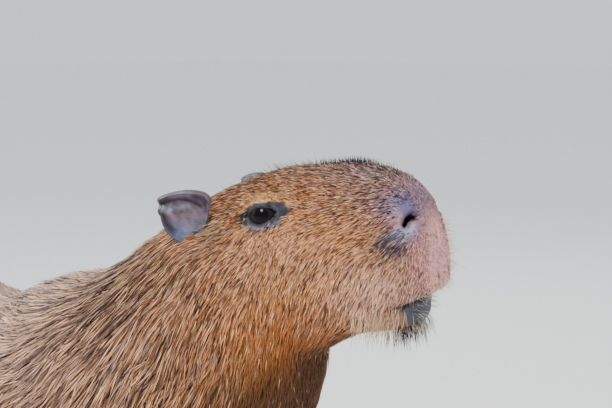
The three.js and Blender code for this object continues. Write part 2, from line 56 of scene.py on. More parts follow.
headPose = {"pitch": 12, "eyesFromOrigin": (430, 25, 610)}
eyes = {word: middleOf("eye_" + word) for word in sides}
eyesMiddle = (eyes["right"] + eyes["left"]) / 2
eyeLine = eyes["left"] - eyes["right"]
eyeAside = eyeLine.length / 2 / mm
eyeRadius = (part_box("eye_right")[1].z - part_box("eye_right")[0].z) / 2 / mm
headYaw = math.atan2(-eyeLine.x, eyeLine.y)
headTurn = Matrix.Rotation(headYaw, 3, "Z") @ Matrix.Rotation(-math.radians(headPose["pitch"]), 3, "Y")
headAxes = np.array(headTurn)
headAt = np.array(eyesMiddle)
bodyAt = headAt - np.array(headPose["eyesFromOrigin"]) * mm


# Millimetres in the head's frame, or in the body's, to metres in the model's, and back.
def fromHead(points):
    return np.atleast_2d(points) @ headAxes.T * mm + headAt


def toHead(points):
    return (points - headAt) @ headAxes / mm


def fromBody(points):
    return np.atleast_2d(points) * mm + bodyAt


def toBody(points):
    return (points - bodyAt) / mm


def unit(vectors):
    return vectors / np.maximum(np.linalg.norm(vectors, axis=1), 1e-9)[:, None]


def smooth(low, high, value):
    t = np.clip((value - low) / (high - low), 0, 1)
    return t * t * (3 - 2 * t)


# A smooth curve through rows of numbers, at evenly spaced places.
def throughRows(rows, count):
    rows = np.array(rows, float)
    last = len(rows) - 1
    at = np.linspace(0, last, count)
    i = np.minimum(at.astype(int), last - 1)
    f = (at - i)[:, None]
    a, b, c, d = rows[np.maximum(i - 1, 0)], rows[i], rows[i + 1], rows[np.minimum(i + 2, last)]
    return b + 0.5 * f * (c - a + (2 * a - 5 * b + 4 * c - d) * f + (3 * b - a - 3 * c + d) * f * f)


# Rings of points from keel to ridge, widest at a share of their height.
def ringsOf(ridge, keel, side, half, widest, square, around=64):
    angle = 2 * np.pi * (np.arange(around) + 0.5) / around
    c, s = np.cos(angle), np.sin(angle)
    power = 2 / np.asarray(square, float).reshape(-1, 1)
    out = np.sign(c) * np.abs(c) ** power * np.asarray(half, float).reshape(-1, 1)
    rise = (np.abs(s) ** power)[..., None]
    middle = keel + (ridge - keel) * np.asarray(widest, float).reshape(-1, 1)
    ends = np.where((s > 0)[None, :, None], ridge[:, None], keel[:, None])
    return middle[:, None] + (ends - middle[:, None]) * rise + side[:, None] * out[..., None]


# A closed skin through rings, as vertices and faces.
def skinThrough(rings):
    count, around = rings.shape[:2]
    verts = rings.reshape(-1, 3)
    r, i = np.meshgrid(np.arange(count - 1), np.arange(around), indexing="ij")
    a = (r * around + i).ravel()
    b = (r * around + (i + 1) % around).ravel()
    faces = np.stack([a, b, b + around, a + around], 1).tolist()
    faces.append(list(range(around))[::-1])
    faces.append(list(range((count - 1) * around, count * around)))
    return verts, faces


# The same through rings in the body's frame.
def bodySkinThrough(rings):
    return skinThrough(fromBody(rings.reshape(-1, 3)).reshape(rings.shape))


def ball(halves, centre, turn=np.eye(3), rows=16, around=32):
    theta = np.linspace(0, np.pi, rows + 1)[1:-1]
    phi = 2 * np.pi * np.arange(around) / around
    ring = np.stack([np.outer(np.sin(theta), np.cos(phi)), np.outer(np.sin(theta), np.sin(phi)),
                     np.outer(np.cos(theta), np.ones(around))], -1)
    return skinThrough(ring * np.array(halves) @ turn.T + np.array(centre))


def newObject(name, data):
    made = bpy.data.objects.new(name, data)
    bpy.context.scene.collection.objects.link(made)
    return made


def shadeSmooth(mesh):
    mesh.polygons.foreach_set("use_smooth", np.ones(len(mesh.polygons), bool))


# Adds closed pieces to one mesh object.
def meshObject(name, pieces):
    verts, faces, start = [], [], 0
    for v, f in pieces:
        verts.append(v)
        faces += [[i + start for i in face] for face in f]
        start += len(v)
    mesh = bpy.data.meshes.new(name)
    mesh.from_pydata(np.concatenate(verts).tolist(), [], faces)
    return newObject(name, mesh)


# Body shapes, in millimetres. Rows are ridge x, ridge z, keel x, keel z, half width.
torsoRows = [
    (-566, 383, -566, 372, 0), (-558, 425, -550, 312, 60), (-528, 462, -515, 262, 101),
    (-470, 487, -455, 222, 131), (-380, 495, -365, 192, 149), (-270, 484, -260, 175, 161),
    (-150, 469, -150, 166, 168), (-50, 460, -50, 165, 169), (50, 478, 45, 169, 163),
    (135, 517, 140, 180, 151), (215, 525, 230, 200, 139), (280, 512, 305, 226, 123),
    (325, 462, 350, 262, 93), (358, 404, 372, 305, 53), (376, 362, 378, 340, 0),
]
# Ridge x, y, z, keel x, y, z, half width, share of the head's turn
neckRows = [
    (120, 0, 440, 330, 0, 230, 118, 0), (165, 0, 505, 400, 0, 315, 128, 0),
    (219, 0, 533, 438, 1, 385, 120, 0.1), (262, 0, 557, 458, 4, 438, 108, 0.25),
    (304, -2, 586, 464, 9, 484, 98, 0.5), (338, -3, 604, 462, 16, 520, 88, 0.8),
    (380, 6, 606, 458, 20, 545, 70, 1),
]
# In the head's frame: ridge u, w, keel u, w, half width, widest, squareness
headRows = [
    (-122, -25, -118, -60, 20, 0.5, 2), (-108, 4, -100, -112, 58, 0.42, 2.1),
    (-80, 23, -68, -138, 73, 0.45, 2.2), (-40, 32, -30, -144, 77, 0.48, 2.3),
    (0, 36, 6, -134, 73, 0.5, 2.4), (38, 33, 42, -121, 62, 0.5, 2.4), (72, 26, 72, -120, 52, 0.5, 2.25),
    (92, 18, 92, -117, 48, 0.48, 2.2), (108, 10, 108, -99, 45, 0.46, 2.6),
    (119, -2, 119, -93, 40, 0.46, 2.6), (126, -16, 126, -88, 32, 0.45, 2.4),
    (129.5, -34, 129, -72, 17, 0.45, 2.2),
]
jawRows = [
    (70, -80, 70, -118, 33, 0.5, 2.2), (88, -84, 86, -121, 31, 0.5, 2.2),
    (100, -89, 98, -119, 25, 0.5, 2.2), (110, -95, 108, -111, 12, 0.5, 2),
]
# Limbs: x, aside, z, half depth, half width
foreRows = [
    (262, 78, 450, 50, 34), (288, 90, 385, 78, 50), (280, 98, 305, 74, 49), (258, 101, 235, 54, 41),
    (264, 99, 170, 38, 33), (282, 96, 105, 28, 27), (292, 95, 60, 25, 26), (300, 94, 24, 25, 30),
]
hindRows = [
    (-440, 66, 440, 60, 40), (-420, 92, 378, 104, 60), (-380, 108, 305, 92, 57), (-356, 118, 245, 66, 46),
    (-388, 116, 192, 47, 36), (-428, 113, 150, 35, 30), (-446, 111, 114, 31, 26), (-432, 110, 78, 27, 27),
    (-406, 109, 46, 23, 30), (-386, 108, 26, 20, 32),
]
feet = {
    "fore": {"x": 312, "aside": 94, "pad": (30, 27, 19), "spread": 34, "radius": 9.5,
             "lengths": (30, 40, 39, 28)},
    "hind": {"x": -366, "aside": 108, "pad": (40, 30, 20), "spread": 26, "radius": 11.5,
             "lengths": (44, 52, 44)},
}


def torsoPiece():
    rx, rz, kx, kz, half = throughRows(torsoRows, 90).T
    zero = np.zeros_like(rx)
    side = np.tile([0.0, 1, 0], (len(rx), 1))
    ridge, keel = np.stack([rx, zero, rz], 1), np.stack([kx, zero, kz], 1)
    rings = ringsOf(ridge, keel, side, np.maximum(half, 0.5), 0.44, 2.25)
    return bodySkinThrough(rings)


def neckPiece():
    rows = throughRows(neckRows, 40)
    yaw = headYaw * rows[:, 7]
    side = np.stack([-np.sin(yaw), np.cos(yaw), np.zeros_like(yaw)], 1)
    rings = ringsOf(rows[:, :3], rows[:, 3:6], side, rows[:, 6], 0.5, 2.2)
    return bodySkinThrough(rings)


def headPiece(source, count):
    rows = throughRows(source, count)
    zero = np.zeros(len(rows))
    side = np.tile([0.0, 1, 0], (len(rows), 1))
    ridge = np.stack([rows[:, 0], zero, rows[:, 1]], 1)
    keel = np.stack([rows[:, 2], zero, rows[:, 3]], 1)
    rings = ringsOf(ridge, keel, side, rows[:, 4], rows[:, 5], rows[:, 6])
    return skinThrough(fromHead(rings.reshape(-1, 3)).reshape(rings.shape))


def limbPiece(rows, side):
    rows = throughRows(rows, 50)
    centre = rows[:, :3] * (1, side, 1)
    heading = np.gradient(centre, axis=0)
    across = np.tile([0.0, 1, 0], (len(rows), 1))
    ahead = np.cross(across, heading)
    ahead /= np.linalg.norm(ahead, axis=1)[:, None]
    up = ahead * rows[:, 3:4]
    rings = ringsOf(centre + up, centre - up, across, rows[:, 4], 0.5, 2, around=40)
    return bodySkinThrough(rings)


# Where a toe starts, which way it points and how long it is, as in the solids.
def toeLine(foot, side, i):
    share = i / (len(foot["lengths"]) - 1) - 0.5
    turn = math.radians(share * foot["spread"] * 1.6) * side
    long, wide, _ = foot["pad"]
    root = np.array([foot["x"] + long * 0.35, side * (foot["aside"] + share * wide * 1.45), 0])
    return root, np.array([math.cos(turn), math.sin(turn), 0]), foot["lengths"][i]


# Share of the toe's length, height, and thickness as a share of its radius
knuckles = [
    (0, 16, 0.85), (0.3, 16, 0.98), (0.5, 14, 0.92), (0.72, 11.5, 1.0), (0.92, 9, 0.85), (1.04, 8, 0.5),
]


def toePiece(foot, side, i):
    root, heading, length = toeLine(foot, side, i)
    share, z, thick = throughRows(knuckles, 14).T
    at = root + heading * (share * length)[:, None] + np.outer(z, [0, 0, 1])
    across = np.tile([-heading[1], heading[0], 0], (len(share), 1))
    up = np.outer(foot["radius"] * thick, [0, 0, 1])
    rings = ringsOf(at + up, at - up, across, foot["radius"] * thick, 0.5, 2, around=20)
    return bodySkinThrough(rings)


padHeight = 15
# ahead and long are shares of the pad's length, thick and height are millimetres
web = {"ahead": 0.75, "long": 0.8, "thick": 7, "height": 6}


def footPieces(foot, side):
    long, wide, tall = foot["pad"]
    aside = side * foot["aside"]
    pad = ball((long * mm, wide * mm, tall * mm), fromBody((foot["x"], aside, padHeight))[0])
    webAt = fromBody((foot["x"] + web["ahead"] * long, aside, web["height"]))[0]
    webPiece = ball((long * web["long"] * mm, wide * mm, web["thick"] * mm), webAt)
    return [pad, webPiece] + [toePiece(foot, side, i) for i in range(len(foot["lengths"]))]


# How deep the coat lies over the skin, in millimetres.
coatDepth = {"nose": 0.2, "face": 1.6, "cheek": 3.5, "neck": 8, "body": 9, "leg": 4, "foot": 1.5}
# Where one depth passes into the next: along the head, along the body, and by height
depthZones = {"cheek": (60, -30), "nose": (70, 105), "headToNeck": (10, -110), "neckToBody": (260, 100),
              "legToBody": (150, 260), "footToLeg": (40, 130)}


def depthAt(points):
    head, body = toHead(points), toBody(points)
    zones, depth = depthZones, coatDepth
    back = smooth(*zones["headToNeck"], head[:, 0] + 0.25 * (head[:, 2] + 60))
    onHead = depth["face"] + (depth["cheek"] - depth["face"]) * smooth(*zones["cheek"], head[:, 0])
    onHead = onHead + (depth["nose"] - onHead) * smooth(*zones["nose"], head[:, 0])
    onBody = depth["neck"] + (depth["body"] - depth["neck"]) * smooth(*zones["neckToBody"], body[:, 0])
    found = onHead + (onBody - onHead) * back
    found = depth["leg"] + (found - depth["leg"]) * smooth(*zones["legToBody"], body[:, 2])
    return depth["foot"] + (found - depth["foot"]) * smooth(*zones["footToLeg"], body[:, 2])


# Vertex positions and normals of a mesh as arrays.
def coordsOf(mesh):
    co = np.empty(len(mesh.vertices) * 3, np.float32)
    mesh.vertices.foreach_get("co", co)
    return co.reshape(-1, 3).astype(float)


def normalsOf(mesh):
    normals = np.empty(len(mesh.vertices) * 3, np.float32)
    mesh.vertices.foreach_get("normal", normals)
    return normals.reshape(-1, 3).astype(float)


def setCoords(mesh, co):
    mesh.vertices.foreach_set("co", co.astype(np.float32).ravel())
    mesh.update()


def treeOf(mesh):
    count = len(mesh.loop_triangles)
    corners = np.empty(count * 3, np.int32)
    mesh.loop_triangles.foreach_get("vertices", corners)
    corners = corners.reshape(-1, 3)
    co = coordsOf(mesh)
    return BVHTree.FromPolygons(co.tolist(), corners.tolist()), co, corners


# Evens a surface out, as much at each vertex as its weight says.
def relax(mesh, weight, rounds, keep=0.0):
    edges = np.empty(len(mesh.edges) * 2, np.int32)
    mesh.edges.foreach_get("vertices", edges)
    a, b = edges.reshape(-1, 2).T
    count = len(mesh.vertices)
    degree = np.bincount(a, minlength=count) + np.bincount(b, minlength=count)
    co = coordsOf(mesh)

    def pull(co, factor):
        sums = [np.bincount(a, co[b, k], count) + np.bincount(b, co[a, k], count) for k in range(3)]
        mean = np.stack(sums, 1)
        return co + (mean / degree[:, None] - co) * (weight * factor)[:, None]

    for _ in range(rounds):
        co = pull(co, 0.5)
        if keep:
            co = pull(co, -keep)
    setCoords(mesh, co)


# Soft round brush weights, in millimetres of the head's or the body's frame, mirrored off the midline.
def brush(points, place, radius):
    weight = 0
    for side in (1, -1) if place[1] else (1,):
        away = points - np.array(place) * (1, side, 1)
        weight = weight + np.exp(-((away / np.array(radius)) ** 2).sum(1))
    return weight


# The same along a line through places, by the distance to its nearest stretch.
def lineBrush(points, places, radius, mirrored=True):
    nearest = np.full(len(points), 1e9)
    for side in (1, -1) if mirrored else (1,):
        line = np.array(places, float) * (1, side, 1)
        for a, b in zip(line[:-1], line[1:]):
            along = np.clip(((points - a) @ (b - a)) / ((b - a) @ (b - a)), 0, 1)
            nearest = np.minimum(nearest, np.linalg.norm(points - a - along[:, None] * (b - a), axis=1))
    return np.exp(-((nearest / radius) ** 2))


skin = {
    "voxel": 5.0,
    "blendRounds": 45,
    # the limb's x in millimetres; all of the blend within, and fading over, in metres
    "blendLimbs": ((283, 0.06, 0.13), (-400, 0.08, 0.15)),
    "ridging": 0.52,
    "sole": 0.5,
    "lidBulge": (7, 2.4, 3),
    "rumpTip": ((-562, 0, 400), (13, 10, 12)),
    "overEye": 1.1,
    "eyeOpening": {"rear": 12.4, "front": 14.8, "up": 8.0, "down": 8.0, "tilt": 3},
    "mouth": {"u": 104, "w": -96, "slope": 6, "depth": 5.5, "width": 1.7},
}


def bodySkin():
    pieces = [torsoPiece(), neckPiece(), headPiece(headRows, 70), headPiece(jawRows, 20)]
    for side in sides.values():
        pieces += [limbPiece(foreRows, side), limbPiece(hindRows, side)]
        for foot in feet.values():
            pieces += footPieces(foot, side)
        bulge = (eyeRadius + np.array(skin["lidBulge"])) * mm
        pieces.append(ball(bulge, fromHead((0, side * eyeAside, 0))[0], headAxes))
    tipAt, tipHalves = skin["rumpTip"]
    pieces.append(ball(np.array(tipHalves) * mm, fromBody(tipAt)[0]))
    made = meshObject("skin", pieces)
    remesh = made.modifiers.new("evened", "REMESH")
    remesh.mode = "VOXEL"
    remesh.voxel_size = skin["voxel"] * mm
    applyModifiers(made)
    return made


def applyModifiers(made):
    graph = bpy.context.evaluated_depsgraph_get()
    mesh = bpy.data.meshes.new_from_object(made.evaluated_get(graph))
    made.modifiers.clear()
    old = made.data
    made.data = mesh
    bpy.data.meshes.remove(old)


# Splits the faces whose middle passes a test.
def refine(made, wanted):
    middles = np.empty(len(made.data.polygons) * 3, np.float32)
    made.data.polygons.foreach_get("center", middles)
    chosen = wanted(middles.reshape(-1, 3).astype(float))
    work = bmesh.new()
    work.from_mesh(made.data)
    work.faces.ensure_lookup_table()
    edges = list({e for i in np.flatnonzero(chosen) for e in work.faces[i].edges})
    bmesh.ops.subdivide_edges(work, edges=edges, cuts=1, use_grid_fill=True, smooth=0)
    bmesh.ops.triangulate(work, faces=[f for f in work.faces if len(f.verts) > 4])
    work.to_mesh(made.data)
    work.free()


# The places of the face with the finest forms: eyes, nostrils and lips.
def fineFace(points):
    head = toHead(points)
    aside = np.abs(head[:, 1])
    byEye = (np.abs(head[:, 0] - 3) < 32) & (np.abs(head[:, 2]) < 22) & (aside > 38)
    return byEye | ((head[:, 0] > 84) & (head[:, 2] < 2))


def finestFace(points):
    head = toHead(points)
    byNostril = np.linalg.norm(np.abs(head) - (120, 32, 26), axis=1) < 15
    atMouth = (np.abs(head[:, 2] + 97) < 9) & (head[:, 0] > 84)
    return byNostril | atMouth


def shapeSkin(made):
    mesh = made.data
    co = coordsOf(mesh)
    head, body = toHead(co), toBody(co)
    offFace = 1 - smooth(-110, -60, head[:, 0])
    nearLeg = 0
    for x, within, fade in skin["blendLimbs"]:
        nearLeg = np.maximum(nearLeg, smooth(fade, 0, np.abs(body[:, 0] - x) / 1000 - within))
    joined = nearLeg * smooth(190, 240, body[:, 2]) * offFace
    atNeck = smooth(120, 200, body[:, 0]) * smooth(330, 400, body[:, 2]) * offFace
    weight = np.clip(0.25 + joined + atNeck, 0, 1) * smooth(60, 110, body[:, 2]) * offFace
    keep = skin["ridging"]
    relax(mesh, weight, skin["blendRounds"])
    relax(mesh, np.ones(len(co)), 3, keep)
    setCoords(mesh, coordsOf(mesh) - normalsOf(mesh) * (depthAt(coordsOf(mesh)) * mm)[:, None])
    refine(made, lambda p: toHead(p)[:, 0] > -105)
    relax(made.data, smooth(-115, -95, toHead(coordsOf(made.data))[:, 0]), 4, keep)
    for wanted in (fineFace, finestFace):
        refine(made, wanted)
        relax(made.data, wanted(coordsOf(made.data)).astype(float), 3, keep)
    refine(made, lambda p: toBody(p)[:, 2] < 45)
    setCoords(made.data, np.maximum(coordsOf(made.data), (-9, -9, skin["sole"] * mm)))


# Moves of the face along its normals: place, reach and amount in millimetres. Minus is inwards.
faceMoves = [
    ((4, 62, 20), (26, 14, 7), 3.0),       # brow over the eye
    ((-2, 64, -19), (24, 14, 6), 1.2),     # bag under the eye
    ((30, 56, -2), (9, 12, 9), -3.4),      # hollow before the eye
    ((-26, 64, 0), (9, 12, 9), -2.0),      # hollow behind it
    ((-12, 77, -62), (38, 26, 34), 3.0),   # chewing muscle of the cheek
    ((52, 56, -42), (22, 20, 30), -3.0),   # hollow between cheek and muzzle
    ((98, 46, -62), (20, 22, 24), 3.2),    # whisker pad
    ((116, 40, -30), (10, 12, 14), 2.0),   # wing of the nostril
    ((84, 0, 22), (26, 30, 12), 1.6),      # blunt end of the nose bridge
    ((40, 0, 36), (24, 30, 14), -1.4),     # slight dip before the brow
    ((126, 0, -50), (10, 3.4, 34), -2.2),  # groove between the lips
    ((122, 14, -82), (10, 10, 9), 1.8),    # full upper lip
    ((104, 0, -112), (14, 20, 8), 1.2),    # chin
]
nostril = {
    "line": [(117, 38, -28.5), (119, 34.5, -24.5), (122, 30, -23), (124.5, 26, -24.5)],
    "pit": [(112, 29, -27), (114, 24, -24), (115, 20, -23)],
    "radius": 3.5,
    "depth": 13,
    "rim": (7.5, 2.2),
}


def shapeFace(made):
    mesh = made.data
    co, normals = coordsOf(mesh), normalsOf(mesh)
    head = toHead(co)
    amount = np.zeros(len(co))
    for place, radius, height in faceMoves:
        amount += height * brush(head, place, radius)
    rimRadius, rimHeight = nostril["rim"]
    amount += rimHeight * lineBrush(head, nostril["line"], rimRadius)
    amount -= (nostril["depth"] + rimHeight) * lineBrush(head, nostril["line"], nostril["radius"])
    m = skin["mouth"]
    slope = math.radians(m["slope"])
    away = (head - (m["u"], 0, m["w"])) @ (np.sin(slope), 0, -np.cos(slope))
    reach = smooth(70, 84, head[:, 0]) * smooth(60, 45, np.abs(head[:, 1]))
    amount -= m["depth"] * np.exp(-((away / m["width"]) ** 2)) * reach
    co += normals * (amount * mm)[:, None]
    setCoords(mesh, co)
    for word in sides:
        out = coordsOf(mesh) - np.array(eyes[word])
        away = np.linalg.norm(out, axis=1)
        lift = np.maximum((eyeRadius + skin["overEye"]) * mm - away, 0)
        setCoords(mesh, coordsOf(mesh) + unit(out) * (lift * (away > 4 * mm))[:, None])
    closedLids = treeOf(mesh)[0]
    head = toHead(coordsOf(mesh))
    inside = openingShare(head)
    for side in sides.values():
        hollow = (np.abs(head[:, 1]) > 40) & (np.sign(head[:, 1]) == side) & (inside < 1.12)
        head[hollow, 1] = side * (eyeAside - 2)
    setCoords(mesh, fromHead(head))
    return closedLids


# The lids' outline, as a share of the way from the eye's middle: 1 on the margin.
def openingShare(head):
    o = skin["eyeOpening"]
    tilt = math.radians(o["tilt"])
    x = head[:, 0] * math.cos(tilt) + head[:, 2] * math.sin(tilt)
    z = -head[:, 0] * math.sin(tilt) + head[:, 2] * math.cos(tilt)
    long = np.where(x > 0, o["front"], o["rear"])
    tall = np.where(z > 0, o["up"], o["down"])
    across = np.clip(1 - (x / long) ** 2, 1e-3, None)
    return np.maximum(np.abs(x) / long, np.abs(z) / (tall * across))


print("skin")
skinObject = bodySkin()
shapeSkin(skinObject)
plainSkinTree = shapeFace(skinObject)
print("skin has", len(skinObject.data.polygons), "faces")

# Colours of coat and bare skin, a few with painted shade and painted highlights in them, and where each
# lies. Later dabs lie over earlier ones.
colours = {
    "tan": (0.53, 0.195, 0.06), "golden": (0.62, 0.205, 0.04), "rust": (0.42, 0.13, 0.03),
    # pale: strand colour, partly the hair's own and partly painted sheen
    "pale": (0.82, 0.50, 0.27), "brown": (0.17, 0.075, 0.038), "umber": (0.08, 0.04, 0.028),
    # the chin's colour: dark skin with a painted bluish highlight
    "greyBrown": (0.20, 0.142, 0.155), "dusk": (0.075, 0.048, 0.058), "chin": (0.04, 0.046, 0.06),
    "mauve": (0.10, 0.088, 0.185), "slate": (0.022, 0.024, 0.034), "pink": (0.80, 0.37, 0.37),
    # the upper lid's gold: partly its hair's colour, partly a painted highlight on the fold
    "lid": (0.90, 0.47, 0.14), "cream": (0.78, 0.40, 0.19), "leg": (0.22, 0.10, 0.055),
    # the throat's colour: dark brown deepened with painted shade under the jaw
    "foot": (0.07, 0.048, 0.04), "blueGlint": (0.25, 0.27, 0.44), "shadedThroat": (0.11, 0.045, 0.016),
    "backPale": (0.95, 0.66, 0.50), "muzzlePale": (1.0, 0.55, 0.36),
}
# In the head's frame, mirrored: place, reach, colour, strength
faceDabs = [
    ((-5, 0, 40), (95, 80, 36), "brown", 1.15),
    ((-30, 44, 24), (44, 22, 14), "rust", 0.5),
    ((86, 0, 16), (42, 46, 26), "greyBrown", 1.0),
    ((60, 50, 0), (30, 20, 18), "brown", 0.55),
    ((20, 66, -50), (50, 30, 34), "cream", 0.4),
    ((-10, 66, -90), (60, 40, 34), "golden", 0.7),
    ((20, 60, -112), (46, 40, 20), "rust", 0.8),
    ((-5, 66, -24), (26, 20, 10), "cream", 0.6),
    ((82, 46, -78), (36, 22, 26), "muzzlePale", 0.95),
    ((-40, 76, -60), (26, 20, 34), "brown", 0.4),
    # under the jaw: the throat's brown deepened with painted shade
    ((-15, 0, -152), (80, 60, 26), "shadedThroat", 1.0),
    ((45, 0, -128), (50, 44, 15), "shadedThroat", 0.9),
    # upper lid: golden hair with a painted highlight on the fold
    ((5, 62, 14), (21, 14, 6), "lid", 1.0),
    ((36, 54, 8), (10, 12, 12), "rust", 0.7),
    ((122, 0, -10), (20, 36, 20), "mauve", 0.85),
    ((115, 30, -14), (25, 21, 18), "mauve", 1.1),
    ((120, 26, -36), (14, 18, 12), "mauve", 0.9),
    ((109, 44, -41), (16, 18, 11), "dusk", 1.7),
    # a painted bluish highlight on the wing of the nostril
    ((117, 39, -34), (10, 10, 6), "blueGlint", 1.0),
    ((129, 12, -62), (16, 26, 26), "pink", 1.0),
    ((122, 34, -70), (14, 14, 20), "pink", 0.75),
    ((128, 14, -78), (3, 3, 4.5), "umber", 0.9),
    # a painted bluish highlight along the lower edge of the upper lip
    ((118, 24, -92), (20, 22, 5), "blueGlint", 0.5),
    ((106, 22, -99.5), (16, 28, 4.5), "slate", 1.6),
    # the chin: dark skin with a painted bluish highlight
    ((104, 0, -108), (15, 34, 12), "chin", 2.0),
]
# In the body's frame, mirrored: place, reach, colour, strength
bodyDabs = [
    ((-130, 0, 500), (430, 180, 170), "cream", 0.6),
    ((0, 0, 300), (700, 300, 130), "brown", 0.3),
    ((50, 40, 480), (270, 160, 120), "backPale", 0.65),
    ((310, 60, 560), (80, 70, 50), "umber", 0.7),
    ((375, 90, 495), (80, 60, 80), "brown", 0.5),
    ((-480, 0, 480), (150, 150, 120), "brown", 0.35),
    ((0, 0, 170), (420, 120, 60), "golden", 0.35),
    # front of the neck under the jaw: brown deepened with painted shade
    ((455, 15, 430), (75, 70, 85), "shadedThroat", 1.0),
]


# Colour, the height above which there is none of it, and the height below which it hides all before it
legTints = [("leg", 250, 90), ("foot", 75, 25)]


# A tint moved towards a colour, by a share at each point.
def toward(tint, colour, share):
    return tint + (np.array(colour) - tint) * share[:, None]


def dab(tint, points, dabs):
    for place, reach, colour, strength in dabs:
        share = np.clip(brush(points, place, reach) * strength, 0, 1)
        tint = toward(tint, colours[colour], share)
    return tint


def tintAt(points):
    head, body = toHead(points), toBody(points)
    tint = np.tile(np.array(colours["tan"]), (len(points), 1))
    for colour, above, below in legTints:
        tint = toward(tint, colours[colour], smooth(above, below, body[:, 2]))
    tint = dab(tint, body, bodyDabs)
    onHead = smooth(-130, -80, head[:, 0]) * smooth(320, 400, body[:, 2])
    onFace = lidTint(head, dab(tint, head, faceDabs))
    return toward(tint, onFace, onHead)


# Soft noise from a few sums of waves, about -1 to 1; size is how far apart its hills are, in millimetres.
def waves(points, size, seed):
    draw = np.random.default_rng(seed)
    total = 0
    for _ in range(7):
        way = draw.normal(size=3)
        way *= 2 * np.pi / (size * np.linalg.norm(way) * draw.uniform(0.7, 1.5))
        total = total + np.sin(points @ way / mm + draw.uniform(0, 7))
    return total / 3


def writeColour(mesh, name, values):
    layer = mesh.color_attributes.new(name, "FLOAT_COLOR", "POINT")
    opaque = np.concatenate([values, np.ones((len(values), 1))], 1)
    layer.data.foreach_set("color", opaque.astype(np.float32).ravel())


# Materials: how rough, how shiny, and how far grains of a given scale lighten or darken the tint
finishes = {
    "hair": {"rough": 0.55, "shine": 0.18, "streaks": (0.45, 1.6)},
    "skin": {"rough": 0.5, "shine": 0.3, "mottle": (0.55, 1.45), "mottleScale": 260.0, "poreScale": 1500.0,
             "poreDepth": 0.0004, "poreStrength": 0.25},
    "eye": {
        "rough": 0.07, "ior": 1.21,
        "rings": [  # share of a quarter turn from the pupil's middle, and colour
            (0.0, (0.001, 0.001, 0.002)), (0.3, (0.001, 0.001, 0.002)), (0.36, (0.010, 0.007, 0.006)),
            (0.6, (0.014, 0.010, 0.009)), (0.66, (0.003, 0.003, 0.004)), (1.0, (0.01, 0.01, 0.012)),
        ],
    },
    "claw": {"rough": 0.4, "dark": (0.02, 0.016, 0.015), "light": (0.12, 0.085, 0.06), "grainScale": 300.0,
             "grainDepth": 0.0005, "grainStrength": 0.3},
}


def newMaterial(name):
    made = bpy.data.materials.new(name)
    made.use_nodes = True
    tree = made.node_tree
    return made, tree, tree.nodes["Principled BSDF"]


def node(tree, kind, **values):
    made = tree.nodes.new(kind)
    for key, value in values.items():
        if key in made.inputs:
            made.inputs[key].default_value = value
        else:
            setattr(made, key, value)
    return made


def shades(tree, factor, dark, light):
    ramp = node(tree, "ShaderNodeMapRange")
    ramp.inputs["To Min"].default_value = dark
    ramp.inputs["To Max"].default_value = light
    tree.links.new(factor, ramp.inputs["Value"])
    return ramp.outputs[0]


def scaled(tree, colour, factor):
    mix = node(tree, "ShaderNodeVectorMath", operation="SCALE")
    tree.links.new(colour, mix.inputs[0])
    tree.links.new(factor, mix.inputs["Scale"])
    return mix.outputs[0]


def hairMaterial():
    made, tree, shader = newMaterial("hair")
    tint = node(tree, "ShaderNodeAttribute", attribute_name="tint")
    strand = node(tree, "ShaderNodeAttribute", attribute_name="strand")
    streak = node(tree, "ShaderNodeTexNoise", Scale=1.0, Detail=2.0, Roughness=0.6)
    tree.links.new(strand.outputs["Vector"], streak.inputs["Vector"])
    shade = shades(tree, streak.outputs[0], *finishes["hair"]["streaks"])
    tree.links.new(scaled(tree, tint.outputs["Color"], shade), shader.inputs["Base Color"])
    shader.inputs["Roughness"].default_value = finishes["hair"]["rough"]
    shader.inputs["Specular IOR Level"].default_value = finishes["hair"]["shine"]
    return made


def skinMaterial():
    made, tree, shader = newMaterial("skin")
    look = finishes["skin"]
    tint = node(tree, "ShaderNodeAttribute", attribute_name="tint")
    place = node(tree, "ShaderNodeTexCoord")
    mottle = node(tree, "ShaderNodeTexNoise", Scale=look["mottleScale"], Detail=4.0, Roughness=0.65)
    tree.links.new(place.outputs["Object"], mottle.inputs["Vector"])
    shade = shades(tree, mottle.outputs[0], *look["mottle"])
    tree.links.new(scaled(tree, tint.outputs["Color"], shade), shader.inputs["Base Color"])
    pores = node(tree, "ShaderNodeTexVoronoi", Scale=look["poreScale"])
    tree.links.new(place.outputs["Object"], pores.inputs["Vector"])
    bump = node(tree, "ShaderNodeBump", Strength=look["poreStrength"], Distance=look["poreDepth"])
    tree.links.new(pores.outputs["Distance"], bump.inputs["Height"])
    tree.links.new(bump.outputs[0], shader.inputs["Normal"])
    shader.inputs["Roughness"].default_value = look["rough"]
    shader.inputs["Specular IOR Level"].default_value = look["shine"]
    return made


def eyeMaterial():
    made, tree, shader = newMaterial("eye")
    look = finishes["eye"]
    gaze = node(tree, "ShaderNodeAttribute", attribute_name="gaze")
    ramp = node(tree, "ShaderNodeValToRGB")
    for at, colour in look["rings"][1:-1]:
        ramp.color_ramp.elements.new(at).color = (*colour, 1)
    ramp.color_ramp.elements[0].color = (*look["rings"][0][1], 1)
    ramp.color_ramp.elements[-1].color = (*look["rings"][-1][1], 1)
    tree.links.new(gaze.outputs["Fac"], ramp.inputs["Fac"])
    tree.links.new(ramp.outputs["Color"], shader.inputs["Base Color"])
    shader.inputs["Roughness"].default_value = look["rough"]
    shader.inputs["IOR"].default_value = look["ior"]
    return made


